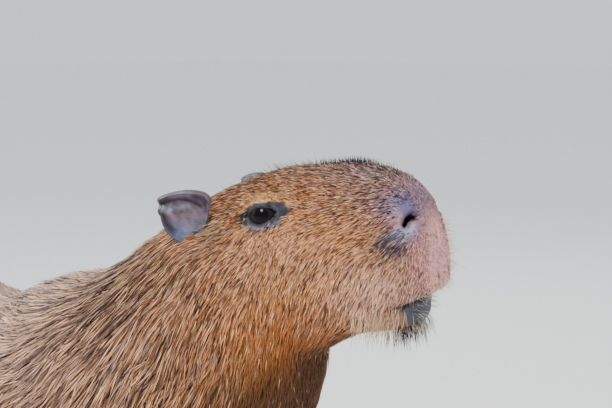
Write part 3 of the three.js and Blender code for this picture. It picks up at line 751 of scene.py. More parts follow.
def clawMaterial():
    made, tree, shader = newMaterial("claw")
    look = finishes["claw"]
    place = node(tree, "ShaderNodeTexCoord")
    grain = node(tree, "ShaderNodeTexNoise", Scale=look["grainScale"], Detail=3.0)
    tree.links.new(place.outputs["Object"], grain.inputs["Vector"])
    ramp = node(tree, "ShaderNodeValToRGB")
    ramp.color_ramp.elements[0].color = (*look["dark"], 1)
    ramp.color_ramp.elements[1].color = (*look["light"], 1)
    tree.links.new(grain.outputs[0], ramp.inputs["Fac"])
    tree.links.new(ramp.outputs["Color"], shader.inputs["Base Color"])
    bump = node(tree, "ShaderNodeBump", Strength=look["grainStrength"], Distance=look["grainDepth"])
    tree.links.new(grain.outputs[0], bump.inputs["Height"])
    tree.links.new(bump.outputs[0], shader.inputs["Normal"])
    shader.inputs["Roughness"].default_value = look["rough"]
    return made


# Eyeballs: a ball with a slightly raised cornea, looking out and a little forward
eyeball = {"around": 64, "rows": 40, "inside": 0.15, "cornea": 0.7, "corneaReach": 0.5,
           "gaze": (0.22, 1, 0.02)}


def makeEye(word, side, finish):
    halves = np.full(3, eyeRadius - eyeball["inside"]) * mm
    verts, faces = ball(halves, (0, 0, 0), rows=eyeball["rows"], around=eyeball["around"])
    gaze = np.array(eyeball["gaze"]) * (1, side, 1) @ headAxes.T
    gaze /= np.linalg.norm(gaze)
    turn = np.array(Vector((0, 0, 1)).rotation_difference(Vector(gaze)).to_matrix())
    away = np.arccos(np.clip(verts[:, 2] / (eyeRadius * mm), -1, 1))
    bulge = eyeball["cornea"] * np.exp(-((away / eyeball["corneaReach"]) ** 2)) * mm
    verts = verts * (1 + bulge / (eyeRadius * mm))[:, None]
    made = meshObject("eyeball_" + word, [(verts @ turn.T + np.array(eyes[word]), faces)])
    layer = made.data.attributes.new("gaze", "FLOAT", "POINT")
    layer.data.foreach_set("value", (away / np.pi * 2).astype(np.float32))
    made.data.materials.append(finish)
    shadeSmooth(made.data)
    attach(made, "root")
    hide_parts("eye_" + word)
    return made


# Lids: a band round each opening, from under the margin out to the skin: how far out, and how high.
lids = {
    "around": 96,
    "steps": [(-2.6, -1.8), (-1.0, -0.1), (-0.3, 0.7), (0.4, 1.25), (1.3, 1.3), (2.3, 0.9), (3.3, 0.8),
              (4.4, 0.3), (5.4, -0.5), (6.6, -1.8)],
    "frontCorner": 2.0,
    "square": 0.62,
    "sunk": 3.2,  # how far the band may lie under the skin beside it
    # paler blue-grey on the wet edge of the lower lid: a painted reflection
    "wetEdgeReflection": (0.10, 0.103, 0.13),
    # near black inside the nostrils: painted shade in their hollows
    "hole": (0.006, 0.005, 0.007),
}


def lidOutline(count):
    o = skin["eyeOpening"]
    angle = 2 * np.pi * np.arange(count) / count
    x = np.where(np.cos(angle) > 0, o["front"], o["rear"]) * np.cos(angle)
    share = np.clip(1 - np.cos(angle) ** 2, 0, 1) ** lids["square"]
    z = np.where(np.sin(angle) > 0, o["up"], -o["down"]) * share
    tilt = math.radians(o["tilt"])
    return np.stack([x * math.cos(tilt) - z * math.sin(tilt), x * math.sin(tilt) + z * math.cos(tilt)], 1)


def lidBand(side, skinTree):
    outline = lidOutline(lids["around"])
    ahead = np.roll(outline, -1, 0) - np.roll(outline, 1, 0)
    out = unit(np.stack([ahead[:, 1], -ahead[:, 0]], 1))
    frontward = np.clip(unit(outline)[:, 0], 0, 1) ** 6
    rings = []
    for step, height in lids["steps"]:
        wide = step + lids["frontCorner"] * frontward * float(smooth(0.2, 4, np.array(step)))
        flat = outline + out * np.reshape(wide, (-1, 1))
        row = []
        for x, z in flat:
            start = Vector(fromHead((x, side * 120, z))[0])
            hit = skinTree.ray_cast(start, Vector(headAxes @ np.array([0, -side, 0])))[0]
            surface = toHead(np.array(hit))[1] * side if hit else eyeAside
            onBall = eyeAside + math.sqrt(max(eyeRadius ** 2 - x * x - z * z, 0))
            onBall = max(onBall, surface - lids["sunk"])
            share = float(smooth(-0.8, 2.6, np.array(step)))
            base = max(onBall + (surface - onBall) * share, onBall)
            base += (surface - base) * float(smooth(eyeRadius - 0.5, eyeRadius + 3, np.hypot(x, z)))
            row.append((x, side * (base + height), z))
        rings.append(fromHead(row))
    return np.array(rings)


def makeLids(skinTree):
    pieces, tints = [], []
    around = lids["around"]
    for side in sides.values():
        rings = lidBand(side, skinTree)
        verts = rings.reshape(-1, 3)
        faces = []
        for r in range(len(rings) - 1):
            for i in range(around):
                a, b = r * around + i, r * around + (i + 1) % around
                face = [a, b, b + around, a + around]
                faces.append(face if side < 0 else face[::-1])
        pieces.append((verts, faces))
        tints.append(tintAt(verts))
    made = meshObject("lids", pieces)
    writeColour(made.data, "tint", np.concatenate(tints))
    return made


# The dark rim of the lids, a painted reflection along the paler wet edge below, the dark line at the front
# corner, and painted shade inside the nostrils.
def lidTint(head, tint):
    aside = np.abs(head[:, 1]) > 38
    o = skin["eyeOpening"]
    beyond = np.hypot((head[:, 0] - 2) * 0.88, head[:, 2] * 1.7) / ((o["front"] + o["rear"]) / 2) - 1
    rim = smooth(0.52, 0.3, beyond + 0.05 * waves(head * mm, 7, 31)) * aside
    # A painted reflection along the wet edge below the eye.
    low = smooth(-2, -7, head[:, 2]) * smooth(0.05, 0.2, beyond)
    corner = np.clip(lineBrush(head, [(11, 52, 0), (22, 52, 1.5)], 3.0) * 1.5, 0, 1) * aside
    dark = np.array(colours["slate"]) * (1 + 0.25 * waves(head * mm, 4, 32))[:, None]
    dark = toward(dark, lids["wetEdgeReflection"], low)
    tint = toward(tint, dark, np.clip(np.maximum(rim, corner), 0, 1))
    # Painted shade inside the nostrils.
    hole = np.maximum(lineBrush(head, nostril["line"], nostril["radius"]) * 2.6 - 0.6,
                      lineBrush(head, nostril["pit"], nostril["radius"] * 1.7) * 3 - 0.6)
    return toward(tint, lids["hole"], np.clip(hole, 0, 1))


# Ears: thin cups with a rolled upper rim.
# In the ear's own frame x runs back to its tip, y out of the cup, z up.
ear = {
    "base": (-52, 61, 12),
    "back": (-0.9, 0.42, 0.1),
    "outline": [(1, 9), (12, 13.5), (27, 14.5), (38, 12), (37, 6.5), (39.5, 2), (39.5, -6), (35.5, -16),
                (25, -25), (11, -24), (1, -7)],
    "hollow": (17, -4),
    "cup": 11,
    "thick": 2.2,
    "roll": 3.8,
    "rollTurn": 2.7,
    "around": 132,
    "rings": 24,
    "rollRings": 10,
    "ridge": (0.6, 1.6),  # where the inner fold lies between hollow and rim, and its height
    "inside": (0.15, 0.105, 0.135),
    "rim": (0.04, 0.033, 0.045),
    "lower": (0.055, 0.065, 0.11),
    "tip": (0.42, 0.36, 0.42),
    "rear": (0.15, 0.09, 0.06),
    "marks": [  # x and z along the mark, its width, colour and strength
        # a pale lilac band across the cup: a painted bluish highlight
        ([(36, 2), (30, 4.5), (17, 5)], 2.6, (0.26, 0.255, 0.36), 0.85),
        ([(39, 9), (32, 10.5), (24, 11.5), (15, 9.5), (6, 4)], 1.7, (0.022, 0.018, 0.024), 0.9),
        ([(38, 14.5), (25, 17.5), (14, 17)], 2.4, (0.17, 0.15, 0.21), 0.7),
        ([(10, 13), (2, 9), (1, 0)], 3.2, (0.035, 0.034, 0.055), 0.8),
        ([(39, -1), (37, -8), (31, -17)], 2.6, (0.035, 0.028, 0.04), 0.8),
        ([(25, -18), (20, -25)], 4.5, (0.085, 0.12, 0.21), 0.9),
        ([(24, 0), (22, 0)], 1.6, (0.12, 0.035, 0.03), 0.7),
    ],
}


def earFrame(side):
    back = np.array(ear["back"]) * (1, side, 1)
    back /= np.linalg.norm(back)
    out = np.array([back[1] * side, -back[0] * side, 0])
    out /= np.linalg.norm(out)
    up = np.cross(back, out) * -side
    return np.array(ear["base"]) * (1, side, 1), np.stack([back, out, up])


# The cup's middle sheet as rings from its hollow to the end of the rolled rim.
def earSheet():
    count = len(ear["outline"])
    smoothed = throughRows(ear["outline"] * 3, (3 * count - 1) * 30 + 1)
    rim = smoothed[np.linspace(count * 30, 2 * count * 30, ear["around"], endpoint=False).astype(int)]
    middle = np.array(ear["hollow"])
    arm = rim - middle
    angle = np.arctan2(arm[:, 1], arm[:, 0])
    roll = np.clip(smooth(-0.1, 0.45, angle) * smooth(3.1, 2.5, angle), 0.14, 1)
    wide = ear["roll"] * roll * (0.75 + 0.5 * smooth(0.6, 2.2, angle))
    foldAt, foldHeight = ear["ridge"]
    rings = []
    for share in np.linspace(0.02, 1, ear["rings"]):
        depth = ear["cup"] * (1 - share ** 2) ** 0.8
        off = (share - foldAt - 0.1 * np.sin(2 * angle)) / 0.1
        ridge = foldHeight * np.exp(-(off ** 2)) * smooth(2.4, 0.8, np.abs(angle - 1.3))
        flat = middle + arm * share
        rings.append(np.column_stack([flat[:, 0], ridge - depth, flat[:, 1]]))
    outward = unit(arm)
    edge = rings[-1]
    for i in range(1, ear["rollRings"] + 1):
        turn = ear["rollTurn"] * i / ear["rollRings"] * roll
        flat = outward * (wide * np.sin(turn))[:, None]
        rings.append(edge + np.column_stack([flat[:, 0], wide * (1 - np.cos(turn)), flat[:, 1]]))
    return np.array(rings), middle


def makeEar(word, side):
    sheet, middle = earSheet()
    along = np.gradient(sheet, axis=0)
    around = (np.roll(sheet, -1, 1) - np.roll(sheet, 1, 1)) / 2
    normals = np.cross(along, around)
    normals = unit(normals.reshape(-1, 3)).reshape(sheet.shape)
    normals *= np.sign(normals[2, :, 1].mean())
    taper = np.linspace(1, 0.45, len(sheet))[:, None, None]
    back = sheet - normals * ear["thick"] * taper
    closed = np.concatenate([sheet, back[::-1]])
    base, axes = earFrame(side)
    head = base + closed.reshape(-1, 3) @ axes
    verts, faces = skinThrough(fromHead(head).reshape(closed.shape))
    if side > 0:
        faces = [face[::-1] for face in faces]
    made = meshObject("ear_" + word + "_shape", [(verts, faces)])
    local = closed.reshape(-1, 3)
    share = np.linalg.norm((local[:, [0, 2]] - middle) / (27, 22), axis=1)
    rear = np.repeat(np.arange(2) == 1, sheet[..., 0].size)
    tint = np.tile(np.array(ear["inside"]), (len(local), 1))
    tint = toward(tint, ear["rim"], smooth(0.86, 1.05, share) * smooth(-6, 4, local[:, 2]))
    tint = toward(tint, ear["lower"], smooth(0, -16, local[:, 2]) * 0.8)
    tint = toward(tint, ear["tip"], 0.8 * np.exp(-(((local - (38, 0, 6)) / (5, 9, 4)) ** 2).sum(1)))
    tint = toward(tint, ear["rear"], rear * 0.2)
    for line, radius, colour, strength in ear["marks"]:
        flat = np.column_stack([local[:, 0], np.zeros(len(local)), local[:, 2]])
        share = lineBrush(flat, [(x, 0, z) for x, z in line], radius, False) * strength
        tint = toward(tint, colour, np.clip(share, 0, 1))
    places = coordsOf(made.data)
    tint = tint * (1 + 0.2 * waves(places, 9, 5) + 0.12 * waves(places * (1, 1, 2.5), 4, 6))[:, None]
    writeColour(made.data, "tint", np.clip(tint, 0.02, 1))
    return made


def joinInto(target, others):
    with bpy.context.temp_override(active_object=target, selected_editable_objects=[target, *others]):
        bpy.ops.object.join()


# Claws: blunt and hoof-like, one on each toe
claw = {
    "length": 17,
    "radius": 6.4,
    "sole": 0.4,
    # share of the length, height, and thickness as a share of the radius
    "rows": [(-0.12, 8.6, 0.5), (-0.05, 8.6, 0.92), (0.2, 8, 1.0), (0.6, 5.6, 0.8), (0.92, 3.2, 0.45),
             (1.0, 2.6, 0.2)],
}


def clawPiece(foot, side, i):
    root, heading, length = toeLine(foot, side, i)
    share, z, thick = throughRows(claw["rows"], 22).T
    at = root + heading * (length + share * claw["length"])[:, None] + np.outer(z, (0, 0, 1))
    across = np.tile([-heading[1], heading[0], 0], (len(share), 1))
    up = np.outer(claw["radius"] * thick * 0.85, (0, 0, 1))
    low = np.maximum(at - up, (-1e9, -1e9, claw["sole"]))
    rings = ringsOf(at + up, low, across, claw["radius"] * thick, 0.4, 2.4, around=24)
    return bodySkinThrough(rings)


def makeClaws(finish):
    pieces, names = [], []
    for word, side in sides.items():
        for kind, foot in feet.items():
            for i in range(len(foot["lengths"])):
                pieces.append(clawPiece(foot, side, i))
                names.append(f"claw_{kind}_{word}_{i + 1}")
    made = meshObject("claws", pieces)
    made.data.materials.append(finish)
    shadeSmooth(made.data)
    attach(made, "root")
    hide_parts(*names)


hair = hairMaterial()
skinFinish = skinMaterial()
eyeFinish = eyeMaterial()
print("eyes, ears and claws")
for word, side in sides.items():
    makeEye(word, side, eyeFinish)
makeClaws(clawMaterial())
skinTree, skinCo, skinCorners = treeOf(skinObject.data)
skinNormals = normalsOf(skinObject.data)
writeColour(skinObject.data, "tint", tintAt(skinCo))
bareParts = [makeLids(plainSkinTree)] + [makeEar(word, side) for word, side in sides.items()]
for made in [skinObject, *bareParts]:
    made.data.materials.append(skinFinish)
joinInto(skinObject, bareParts)
shadeSmooth(skinObject.data)


# Coat. Each row combs the hair near its place: which way it lies, its length, and how far
# its tip stands off.
# In the head's frame, mirrored:
faceComb = [
    ((124, 0, -12), (-0.7, 0, 0.7), 3.2, 1.0), ((122, 22, -14), (-0.75, 0.3, 0.5), 3.2, 1.0),
    ((88, 0, 20), (-1, 0, 0.1), 8, 3.0), ((60, 0, 30), (-1, 0, 0.1), 10, 3.4),
    ((82, 38, 4), (-0.95, 0.1, 0), 8, 1.8), ((92, 46, -28), (-0.9, 0.1, -0.4), 7, 1.6),
    ((70, 50, -30), (-0.93, 0.1, -0.35), 10, 1.8), ((96, 46, -62), (-0.75, 0, -0.65), 9, 1.8),
    ((84, 44, -84), (-0.5, 0, -0.85), 15, 2.4), ((128, 8, -60), (0.2, 0.2, -0.9), 4, 1.6),
    ((118, 26, -78), (-0.1, 0.1, -0.95), 6, 1.6), ((110, 24, -90), (-0.3, 0.1, -0.9), 5, 1.5),
    ((100, 36, -100), (-0.6, 0, -0.75), 9, 2.0), ((70, 46, -95), (-0.5, 0, -0.86), 17, 2.8),
    ((100, 10, -116), (-0.4, 0, -0.85), 16, 5), ((40, 20, -124), (-0.9, 0, -0.35), 17, 3),
    ((52, 55, -12), (-0.96, 0, -0.2), 10, 1.6), ((38, 60, -45), (-0.7, 0, -0.7), 12, 2.0),
    ((60, 52, -62), (-0.62, 0, -0.8), 13, 2.2), ((10, 74, -45), (-0.5, 0.05, -0.85), 13, 2.2),
    ((-5, 70, -80), (-0.5, 0, -0.86), 16, 3), ((35, 66, -95), (-0.42, 0, -0.9), 17, 3),
    ((0, 66, -118), (-0.4, 0, -0.9), 18, 3.5), ((2, 64, -20), (-0.62, 0, -0.76), 6.5, 1.3),
    ((24, 58, -14), (-0.85, 0, -0.5), 7, 1.3), ((32, 55, 4), (-0.9, 0, 0.25), 6, 1.3),
    ((0, 58, 20), (-0.95, 0, 0.2), 6.5, 1.5), ((-10, 45, 30), (-1, 0, 0.05), 11, 2.4),
    ((-20, 0, 36), (-1, 0, 0), 13, 3), ((30, 30, 33), (-1, 0, 0.05), 10, 2.4),
    ((-70, 0, 25), (-1, 0, -0.2), 22, 4.5), ((-26, 66, 4), (-0.85, 0, -0.4), 9, 1.8),
    ((-28, 68, -18), (-0.6, 0, -0.76), 11, 2), ((-42, 66, 8), (-0.95, 0, 0.1), 8, 1.8),
    ((-50, 72, -35), (-0.55, 0, -0.83), 20, 3.4), ((-60, 72, -80), (-0.5, 0, -0.86), 28, 5),
    ((-40, 0, -146), (-0.85, 0, -0.5), 22, 4), ((-82, 50, 5), (-0.75, 0, -0.65), 36, 6),
]
# In the body's frame, mirrored:
bodyComb = [
    ((300, 0, 585), (-0.84, 0, -0.5), 46, 8), ((290, 80, 540), (-0.66, 0, -0.75), 50, 8),
    ((300, 98, 490), (-0.55, 0, -0.83), 54, 8), ((345, 95, 500), (-0.45, 0, -0.9), 50, 7),
    ((390, 70, 480), (-0.34, 0, -0.94), 42, 6), ((240, 90, 520), (-0.78, 0, -0.62), 54, 9),
    ((360, 95, 400), (-0.4, 0, -0.93), 48, 8), ((450, 10, 450), (-0.25, 0, -0.97), 15, 3),
    ((470, 20, 500), (-0.5, 0, -0.85), 15, 3), ((425, 0, 380), (-0.3, 0, -0.95), 24, 5),
    ((400, 0, 300), (-0.35, 0, -0.93), 40, 8), ((215, 0, 525), (-1, 0, -0.1), 34, 6),
    ((150, 60, 510), (-1, 0, -0.2), 34, 6), ((250, 130, 400), (-0.62, 0, -0.78), 44, 8),
    ((0, 0, 475), (-1, 0, -0.02), 38, 7), ((120, 120, 470), (-0.93, 0, -0.36), 40, 7),
    ((0, 140, 420), (-0.95, 0, -0.3), 46, 8), ((0, 168, 300), (-0.85, 0, -0.52), 48, 8),
    ((0, 110, 190), (-0.75, 0, -0.4), 34, 7), ((0, 0, 165), (-1, 0, 0), 26, 5),
    ((-380, 0, 518), (-1, 0, -0.1), 52, 10), ((-530, 0, 450), (-0.55, 0, -0.83), 46, 9),
    ((-430, 120, 420), (-0.78, 0, -0.62), 48, 9), ((-400, 150, 300), (-0.42, 0, -0.9), 38, 7),
    ((-550, 60, 340), (-0.1, 0, -1), 38, 8), ((-400, 120, 180), (-0.3, 0, -0.95), 18, 4),
    ((-440, 112, 110), (0.1, 0, -1), 10, 2), ((-370, 108, 30), (0.85, 0, -0.5), 6, 1.2),
    ((285, 140, 320), (-0.28, 0, -0.95), 30, 6), ((270, 110, 170), (-0.1, 0, -1), 15, 3),
    ((295, 95, 70), (0.1, 0, -1), 8, 1.8), ((330, 94, 22), (0.85, 0, -0.5), 5.5, 1.2),
    ((300, 60, 300), (-0.3, 0, -0.95), 22, 5),
]


def combTable():
    rows = []
    for comb, convert, turn in ((faceComb, fromHead, headAxes), (bodyComb, fromBody, np.eye(3))):
        for place, way, length, stand in comb:
            for side in (1, -1) if place[1] else (1,):
                at = convert(np.array(place) * (1, side, 1))[0]
                rows.append((*at, *(turn @ (np.array(way) * (1, side, 1))), length, stand))
    return np.array(rows)


combs = combTable()


# The lie, length and stand of the coat at places, blended from the nearest rows.
def combed(points):
    out = np.empty((len(points), 5))
    for start in range(0, len(points), 20000):
        p = points[start:start + 20000]
        away = np.linalg.norm(p[:, None] - combs[None, :, :3], axis=2) / mm
        weight = 1 / (away ** 3.5 + 30)
        weight /= weight.sum(1)[:, None]
        out[start:start + 20000] = weight @ combs[:, 3:]
    return out[:, :3], out[:, 3], out[:, 4]


# Bare or thin places of the face: place, reach, how much of the coat is gone
bareSpots = [
    ((118, 33, -25), (13, 13, 13), 1.0), ((126, 0, -30), (12, 26, 16), 0.9),
    ((128, 10, -66), (13, 22, 28), 0.88), ((105, 10, -106), (15, 34, 12), 1.0),
    ((112, 14, -98), (16, 26, 3.5), 0.9), ((1, 60, 0), (15, 14, 7.8), 1.0),
    ((20, 56, 1), (10, 12, 6.5), 1.0), ((5, 58, 7.5), (15, 12, 4), 1.0), ((0, 60, 14), (11, 12, 4), 0.3),
    ((-62, 66, 8), (11, 10, 15), 0.8),
]


def bareAt(points):
    head = toHead(points)
    bare = np.zeros(len(points))
    for place, reach, amount in bareSpots:
        bare = np.maximum(bare, amount * np.clip(brush(head, place, reach) * 1.6, 0, 1))
    soles = smooth(9, 5, toBody(points)[:, 2])
    return np.clip(np.maximum(bare, soles), 0, 1)


coat = {
    "seed": 4,
    "cover": {"short": 2.2, "long": 2.9},
    "breadth": (0.72, 0.045),  # at no length, and what each millimetre of length adds
    "lengths": (0.72, 1.2),
    "breadths": (0.75, 1.25),
    "sunk": 1.0,
    "lowest": 0.3,
    "wave": {"short": 0.10, "long": 0.16, "size": 34, "fine": 0.08, "fineSize": 9},
    "clumpSize": 17,
    "clumpStray": 0.35,
    "gather": 0.6,
    "stray": 0.12,
    "stands": 0.25,  # the least share of its stand that a tuft has
    "keep": 0.55,  # how far a tuft keeps its way at each station, and turns to the comb's
    "follow": 0.45,
    "thick": 0.28,
    "patch": 0.003,
}


# What each of the skin's triangles carries: its middle, area, length of coat and how bare it is
a, b, c = (skinCo[skinCorners[:, k]] for k in range(3))
skinMiddles = (a + b + c) / 3
skinAreas = np.linalg.norm(np.cross(b - a, c - a), axis=1) / 2 / mm ** 2
skinLengths = combed(skinMiddles)[1]
skinBare = bareAt(skinMiddles)


# Random roots on the skin and its normals there, as many to each triangle as wanted.
def scatter(wanted, seed):
    draw = np.random.default_rng(seed)
    total = np.cumsum(wanted)
    picks = np.searchsorted(total, np.arange(draw.uniform(), total[-1], 1.0))
    share = draw.uniform(size=(len(picks), 2))
    share[share.sum(1) > 1] = 1 - share[share.sum(1) > 1]
    s, t = share.T[:, :, None]
    corners = skinCorners[picks]
    a, b, c = (skinCo[corners[:, k]] for k in range(3))
    n = skinNormals[corners]
    return a + (b - a) * s + (c - a) * t, unit(n[:, 0] * (1 - s - t) + n[:, 1] * s + n[:, 2] * t)


# As many tufts to a square millimetre as the coat's length asks
def rootsOn(chosen, amount, slim):
    wide = (coat["breadth"][0] + coat["breadth"][1] * skinLengths) * slim
    short, long = coat["cover"]["short"], coat["cover"]["long"]
    cover = short + (long - short) * smooth(10, 40, skinLengths)
    wanted = skinAreas * cover / (0.55 * wide * skinLengths) * (1 - skinBare) * chosen * amount
    return scatter(wanted, coat["seed"])


def flatTo(vectors, normals):
    return unit(vectors - normals * (vectors * normals).sum(1)[:, None])


# Nearest places on the skin and the skin's normals there
def onSkin(points, normals):
    found = np.array(points)
    turned = np.array(normals)
    for i, point in enumerate(points):
        place, normal, _, _ = skinTree.find_nearest(point)
        if place is not None:
            found[i] = place
            turned[i] = normal
    return found, unit(turned * 0.6 + normals * 0.4)


# A coat piece: tapered blades of a few stations that follow the skin.
def makeCoat(name, chosen, amount, slim, unwrap, stations):
    roots, normals = rootsOn(chosen, amount, slim)
    draw = np.random.default_rng(coat["seed"] + len(name))
    count = len(roots)
    lie, length, stand = combed(roots)
    length = length * draw.uniform(*coat["lengths"], count)
    wide = (coat["breadth"][0] + coat["breadth"][1] * length) * slim * draw.uniform(*coat["breadths"], count)
    long = smooth(12, 34, length)
    heading = flatTo(lie, normals)
    across = np.cross(normals, heading)
    wave = coat["wave"]
    bend = (wave["short"] + wave["long"] * long) * waves(roots, wave["size"], 2)
    bend = bend + wave["fine"] * waves(roots, wave["fineSize"], 3) + coat["stray"] * draw.normal(size=count)
    heading = unit(heading + across * bend[:, None])
    shifts = coat["clumpStray"] * np.stack([waves(roots, 40, k) for k in (7, 8, 9)], 1)
    centres = np.floor(roots / (coat["clumpSize"] * mm) + shifts) + 0.5
    centres = centres * coat["clumpSize"] * mm
    offset = centres - roots
    sideways = (offset * np.cross(normals, heading)).sum(1) * long * coat["gather"]
    least = coat["stands"]
    height = stand * (least + (1 - least) * draw.uniform(size=count) ** 0.8)
    height = height * (1 + 0.25 * waves(roots, 18, 4))
    path, norms = [roots - normals * coat["sunk"] * mm], [normals]
    point, normal, way = roots, normals, heading
    for k in range(1, stations + 1):
        step = length / stations
        moved = point + way * step[:, None] * mm + np.cross(normal, way) * (sideways / stations)[:, None]
        point, normal = onSkin(moved, normal)
        if k < stations:
            wanted = flatTo(combed(point)[0], normal)
            curl = np.cross(normal, way) * (bend * 0.3)[:, None]
            way = flatTo(way * coat["keep"] + wanted * coat["follow"] + curl, normal)
        rise = height * (k / stations) ** 0.8
        path.append(point + normal * rise[:, None] * mm)
        norms.append(normal)
    return bladeMesh(name, path, norms, wide, roots, draw, unwrap, length)


# Blades along paths, each closed, with its tint and its small patch of the map.
def bladeMesh(name, path, norms, wide, roots, draw, unwrap, length, tint=None):
    count, stations = len(roots), len(path) - 1
    breadths = np.interp(np.arange(stations) / stations, (0, 0.3, 1), (0.7, 1, 0.45))
    verts, strand, along = [], [], []
    for k in range(stations):
        ahead = unit(path[k + 1] - path[max(k - 1, 0)])
        over = norms[k]
        across = unit(np.cross(over, ahead)) * (wide * breadths[k] / 2 * mm)[:, None]
        top = over * (wide * breadths[k] * coat["thick"] * mm)[:, None]
        verts += [path[k] - across, path[k] + across, path[k] + top]
        strand += [-wide * breadths[k] / 2, wide * breadths[k] / 2, wide * 0]
        along += [np.full(count, k / stations)] * 3
    verts.append(path[-1])
    strand.append(wide * 0)
    along.append(np.ones(count))
    per = 3 * stations + 1
    co = np.maximum(np.stack(verts, 1).reshape(-1, 3), (-9, -9, coat["lowest"] * mm))
    across, along = np.stack(strand, 1), np.stack(along, 1)
    pattern = [(0, 2, 1)]
    for k in range(stations - 1):
        for c in range(3):
            a, b = 3 * k + c, 3 * k + (c + 1) % 3
            pattern += [(a, b, b + 3), (a, b + 3, a + 3)]
    last = 3 * (stations - 1)
    pattern += [(last + c, last + (c + 1) % 3, per - 1) for c in range(3)]
    tris = (np.array(pattern)[None] + (np.arange(count) * per)[:, None, None]).reshape(-1, 3)
    mesh = bpy.data.meshes.new(name)
    mesh.vertices.add(len(co))
    mesh.vertices.foreach_set("co", co.astype(np.float32).ravel())
    mesh.loops.add(tris.size)
    mesh.loops.foreach_set("vertex_index", tris.astype(np.int32).ravel())
    mesh.polygons.add(len(tris))
    mesh.polygons.foreach_set("loop_start", np.arange(0, tris.size, 3, dtype=np.int32))
    mesh.update(calc_edges=True)
    shadeSmooth(mesh)
    place = np.tile(draw.uniform(0, 400, count)[:, None], (1, per))
    lines = np.stack([across * 1.5, along * length[:, None] * 0.06, place], -1).reshape(-1, 3)
    layer = mesh.attributes.new("strand", "FLOAT_VECTOR", "POINT")
    layer.data.foreach_set("vector", lines.astype(np.float32).ravel())
    if tint is None:
        tints = strandTints(roots, length, along, draw)
    else:
        tints = np.repeat(tint[:, None], per, 1)
    writeColour(mesh, "tint", tints.reshape(-1, 3))
    patch = coat["patch"]
    spread = np.stack([across / wide[:, None] * patch * 0.45, (along - 0.5) * patch * 0.9], -1)
    flat = np.clip(unwrap(roots)[:, None] + spread, 0.001, 0.999).reshape(-1, 2)
    uv = mesh.uv_layers.new(name="OFBake")
    uv.data.foreach_set("uv", flat[tris.ravel()].astype(np.float32).ravel())
    made = newObject(name, mesh)
    mesh.materials.append(hair)
    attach(made, "root")
    print(name, count, "tufts", len(tris), "triangles")
    return made


# Strand colours: the markings under them, some paler and some greyer, partly their own tone and partly
# painted sheen, some nearly black, partly dark hairs and partly painted shade between clumps, and darker at
# the root with painted shade between the hairs.
# Shares are for short hair, and what long hair has more; the root's pair is for short and for long hair.
shade = {
    "spread": 0.62,
    # nearly black strands: partly dark hairs, partly painted shade between clumps
    "darkShare": (0.28, 0.08),
    "dark": (0.22, 0.24, 0.32),
    # paler and greyer strands: partly their own tone, partly painted sheen
    "paleShare": (0.17, 0.06),
    "greyShare": 0.07,
    "grey": (0.16, 0.14, 0.145),
    # how dark the root is, as painted shade between the hairs
    "root": (0.36, 0.22),
    "tip": 1.22,
    "darkest": 0.004,
    "brightest": 0.88,
}


# Where the coat is fine and even: throat and back
def calmAt(points):
    head, body = toHead(points), toBody(points)
    shadedThroat = brush(head, (-15, 0, -152), (85, 60, 30)) + brush(body, (455, 15, 430), (75, 70, 85))
    shadedThroat = np.clip(shadedThroat, 0, 1)
    back = np.clip(brush(body, (80, 40, 500), (220, 130, 60)), 0, 1)
    return 1 - 0.93 * shadedThroat - 0.35 * back * (1 - shadedThroat)


def strandTints(roots, length, along, draw):
    count = len(roots)
    tint = tintAt(roots)
    long, calm = smooth(10, 40, length), calmAt(roots)
    value = calm * (draw.normal(0, shade["spread"], count) + 0.2 * waves(roots, 8, 21))
    value = value + 0.12 * waves(roots, 30, 22)
    tint = tint * np.exp(value)[:, None]
    pick = draw.uniform(size=count)
    # Nearly black strands: partly dark hairs, partly painted shade between clumps.
    darker = (pick < (shade["darkShare"][0] + shade["darkShare"][1] * long) * calm)[:, None]
    # Paler and greyer strands: partly their own tone, partly painted sheen.
    paler = (pick > 1 - (shade["paleShare"][0] + shade["paleShare"][1] * long) * calm)[:, None]
    greyer = (np.abs(pick - 0.5) < shade["greyShare"] * calm)[:, None]
    tint = np.where(darker, tint * shade["dark"], tint)
    tint = np.where(paler, tint * 0.55 + np.array(colours["pale"]) * 0.6, tint)
    tint = np.where(greyer, tint * 0.45 + np.array(shade["grey"]), tint)
    # Darker towards the root: painted shade between the hairs; the tip is lighter.
    root = (shade["root"][0] + (shade["root"][1] - shade["root"][0]) * long)[:, None]
    fade = root + (shade["tip"] - root) * along ** 0.8
    tint = np.maximum(tint[:, None] * fade[..., None], shade["darkest"])
    return tint * np.minimum(shade["brightest"] / tint.max(-1, keepdims=True), 1)


# The skin's own unwrap, one half of one region to a map.
def headMap(side):
    def unwrap(points):
        head = unit(toHead(points) - (0, 0, -50))
        spread = np.sqrt(1 / (1 + np.clip(head[:, 1] * side, -0.2, 1)))
        return 0.5 + 0.46 * np.stack([head[:, 0] * spread, head[:, 2] * spread], 1)
    return unwrap


def bodyMap(low, high, axisZ):
    def unwrap(points):
        body = toBody(points)
        angle = np.arctan2(np.abs(body[:, 1]), body[:, 2] - axisZ) / np.pi
        along = np.clip((body[:, 0] - low) / (high - low), 0, 1)
        return np.stack([0.02 + 0.96 * along, 0.02 + 0.96 * angle], 1)
    return unwrap


def legMap(low, high):
    def unwrap(points):
        body = toBody(points)
        middle = (low + high) / 2
        angle = np.arctan2(np.abs(body[:, 1]) - 104, body[:, 0] - middle) / (2 * np.pi) + 0.5
        return np.stack([0.02 + 0.96 * angle, 0.02 + 0.96 * np.clip(body[:, 2] / 330, 0, 1)], 1)
    return unwrap


# The midline's side: the head's own, blended into the body's
def sideOf(points):
    head, body = toHead(points), toBody(points)
    middle = np.interp(body[:, 0], (230, 330, 380), (0, 6, 20))
    inBody = body[:, 1] - middle
    return np.where(np.where(body[:, 0] > 370, head[:, 1], inBody) < 0, -1, 1)


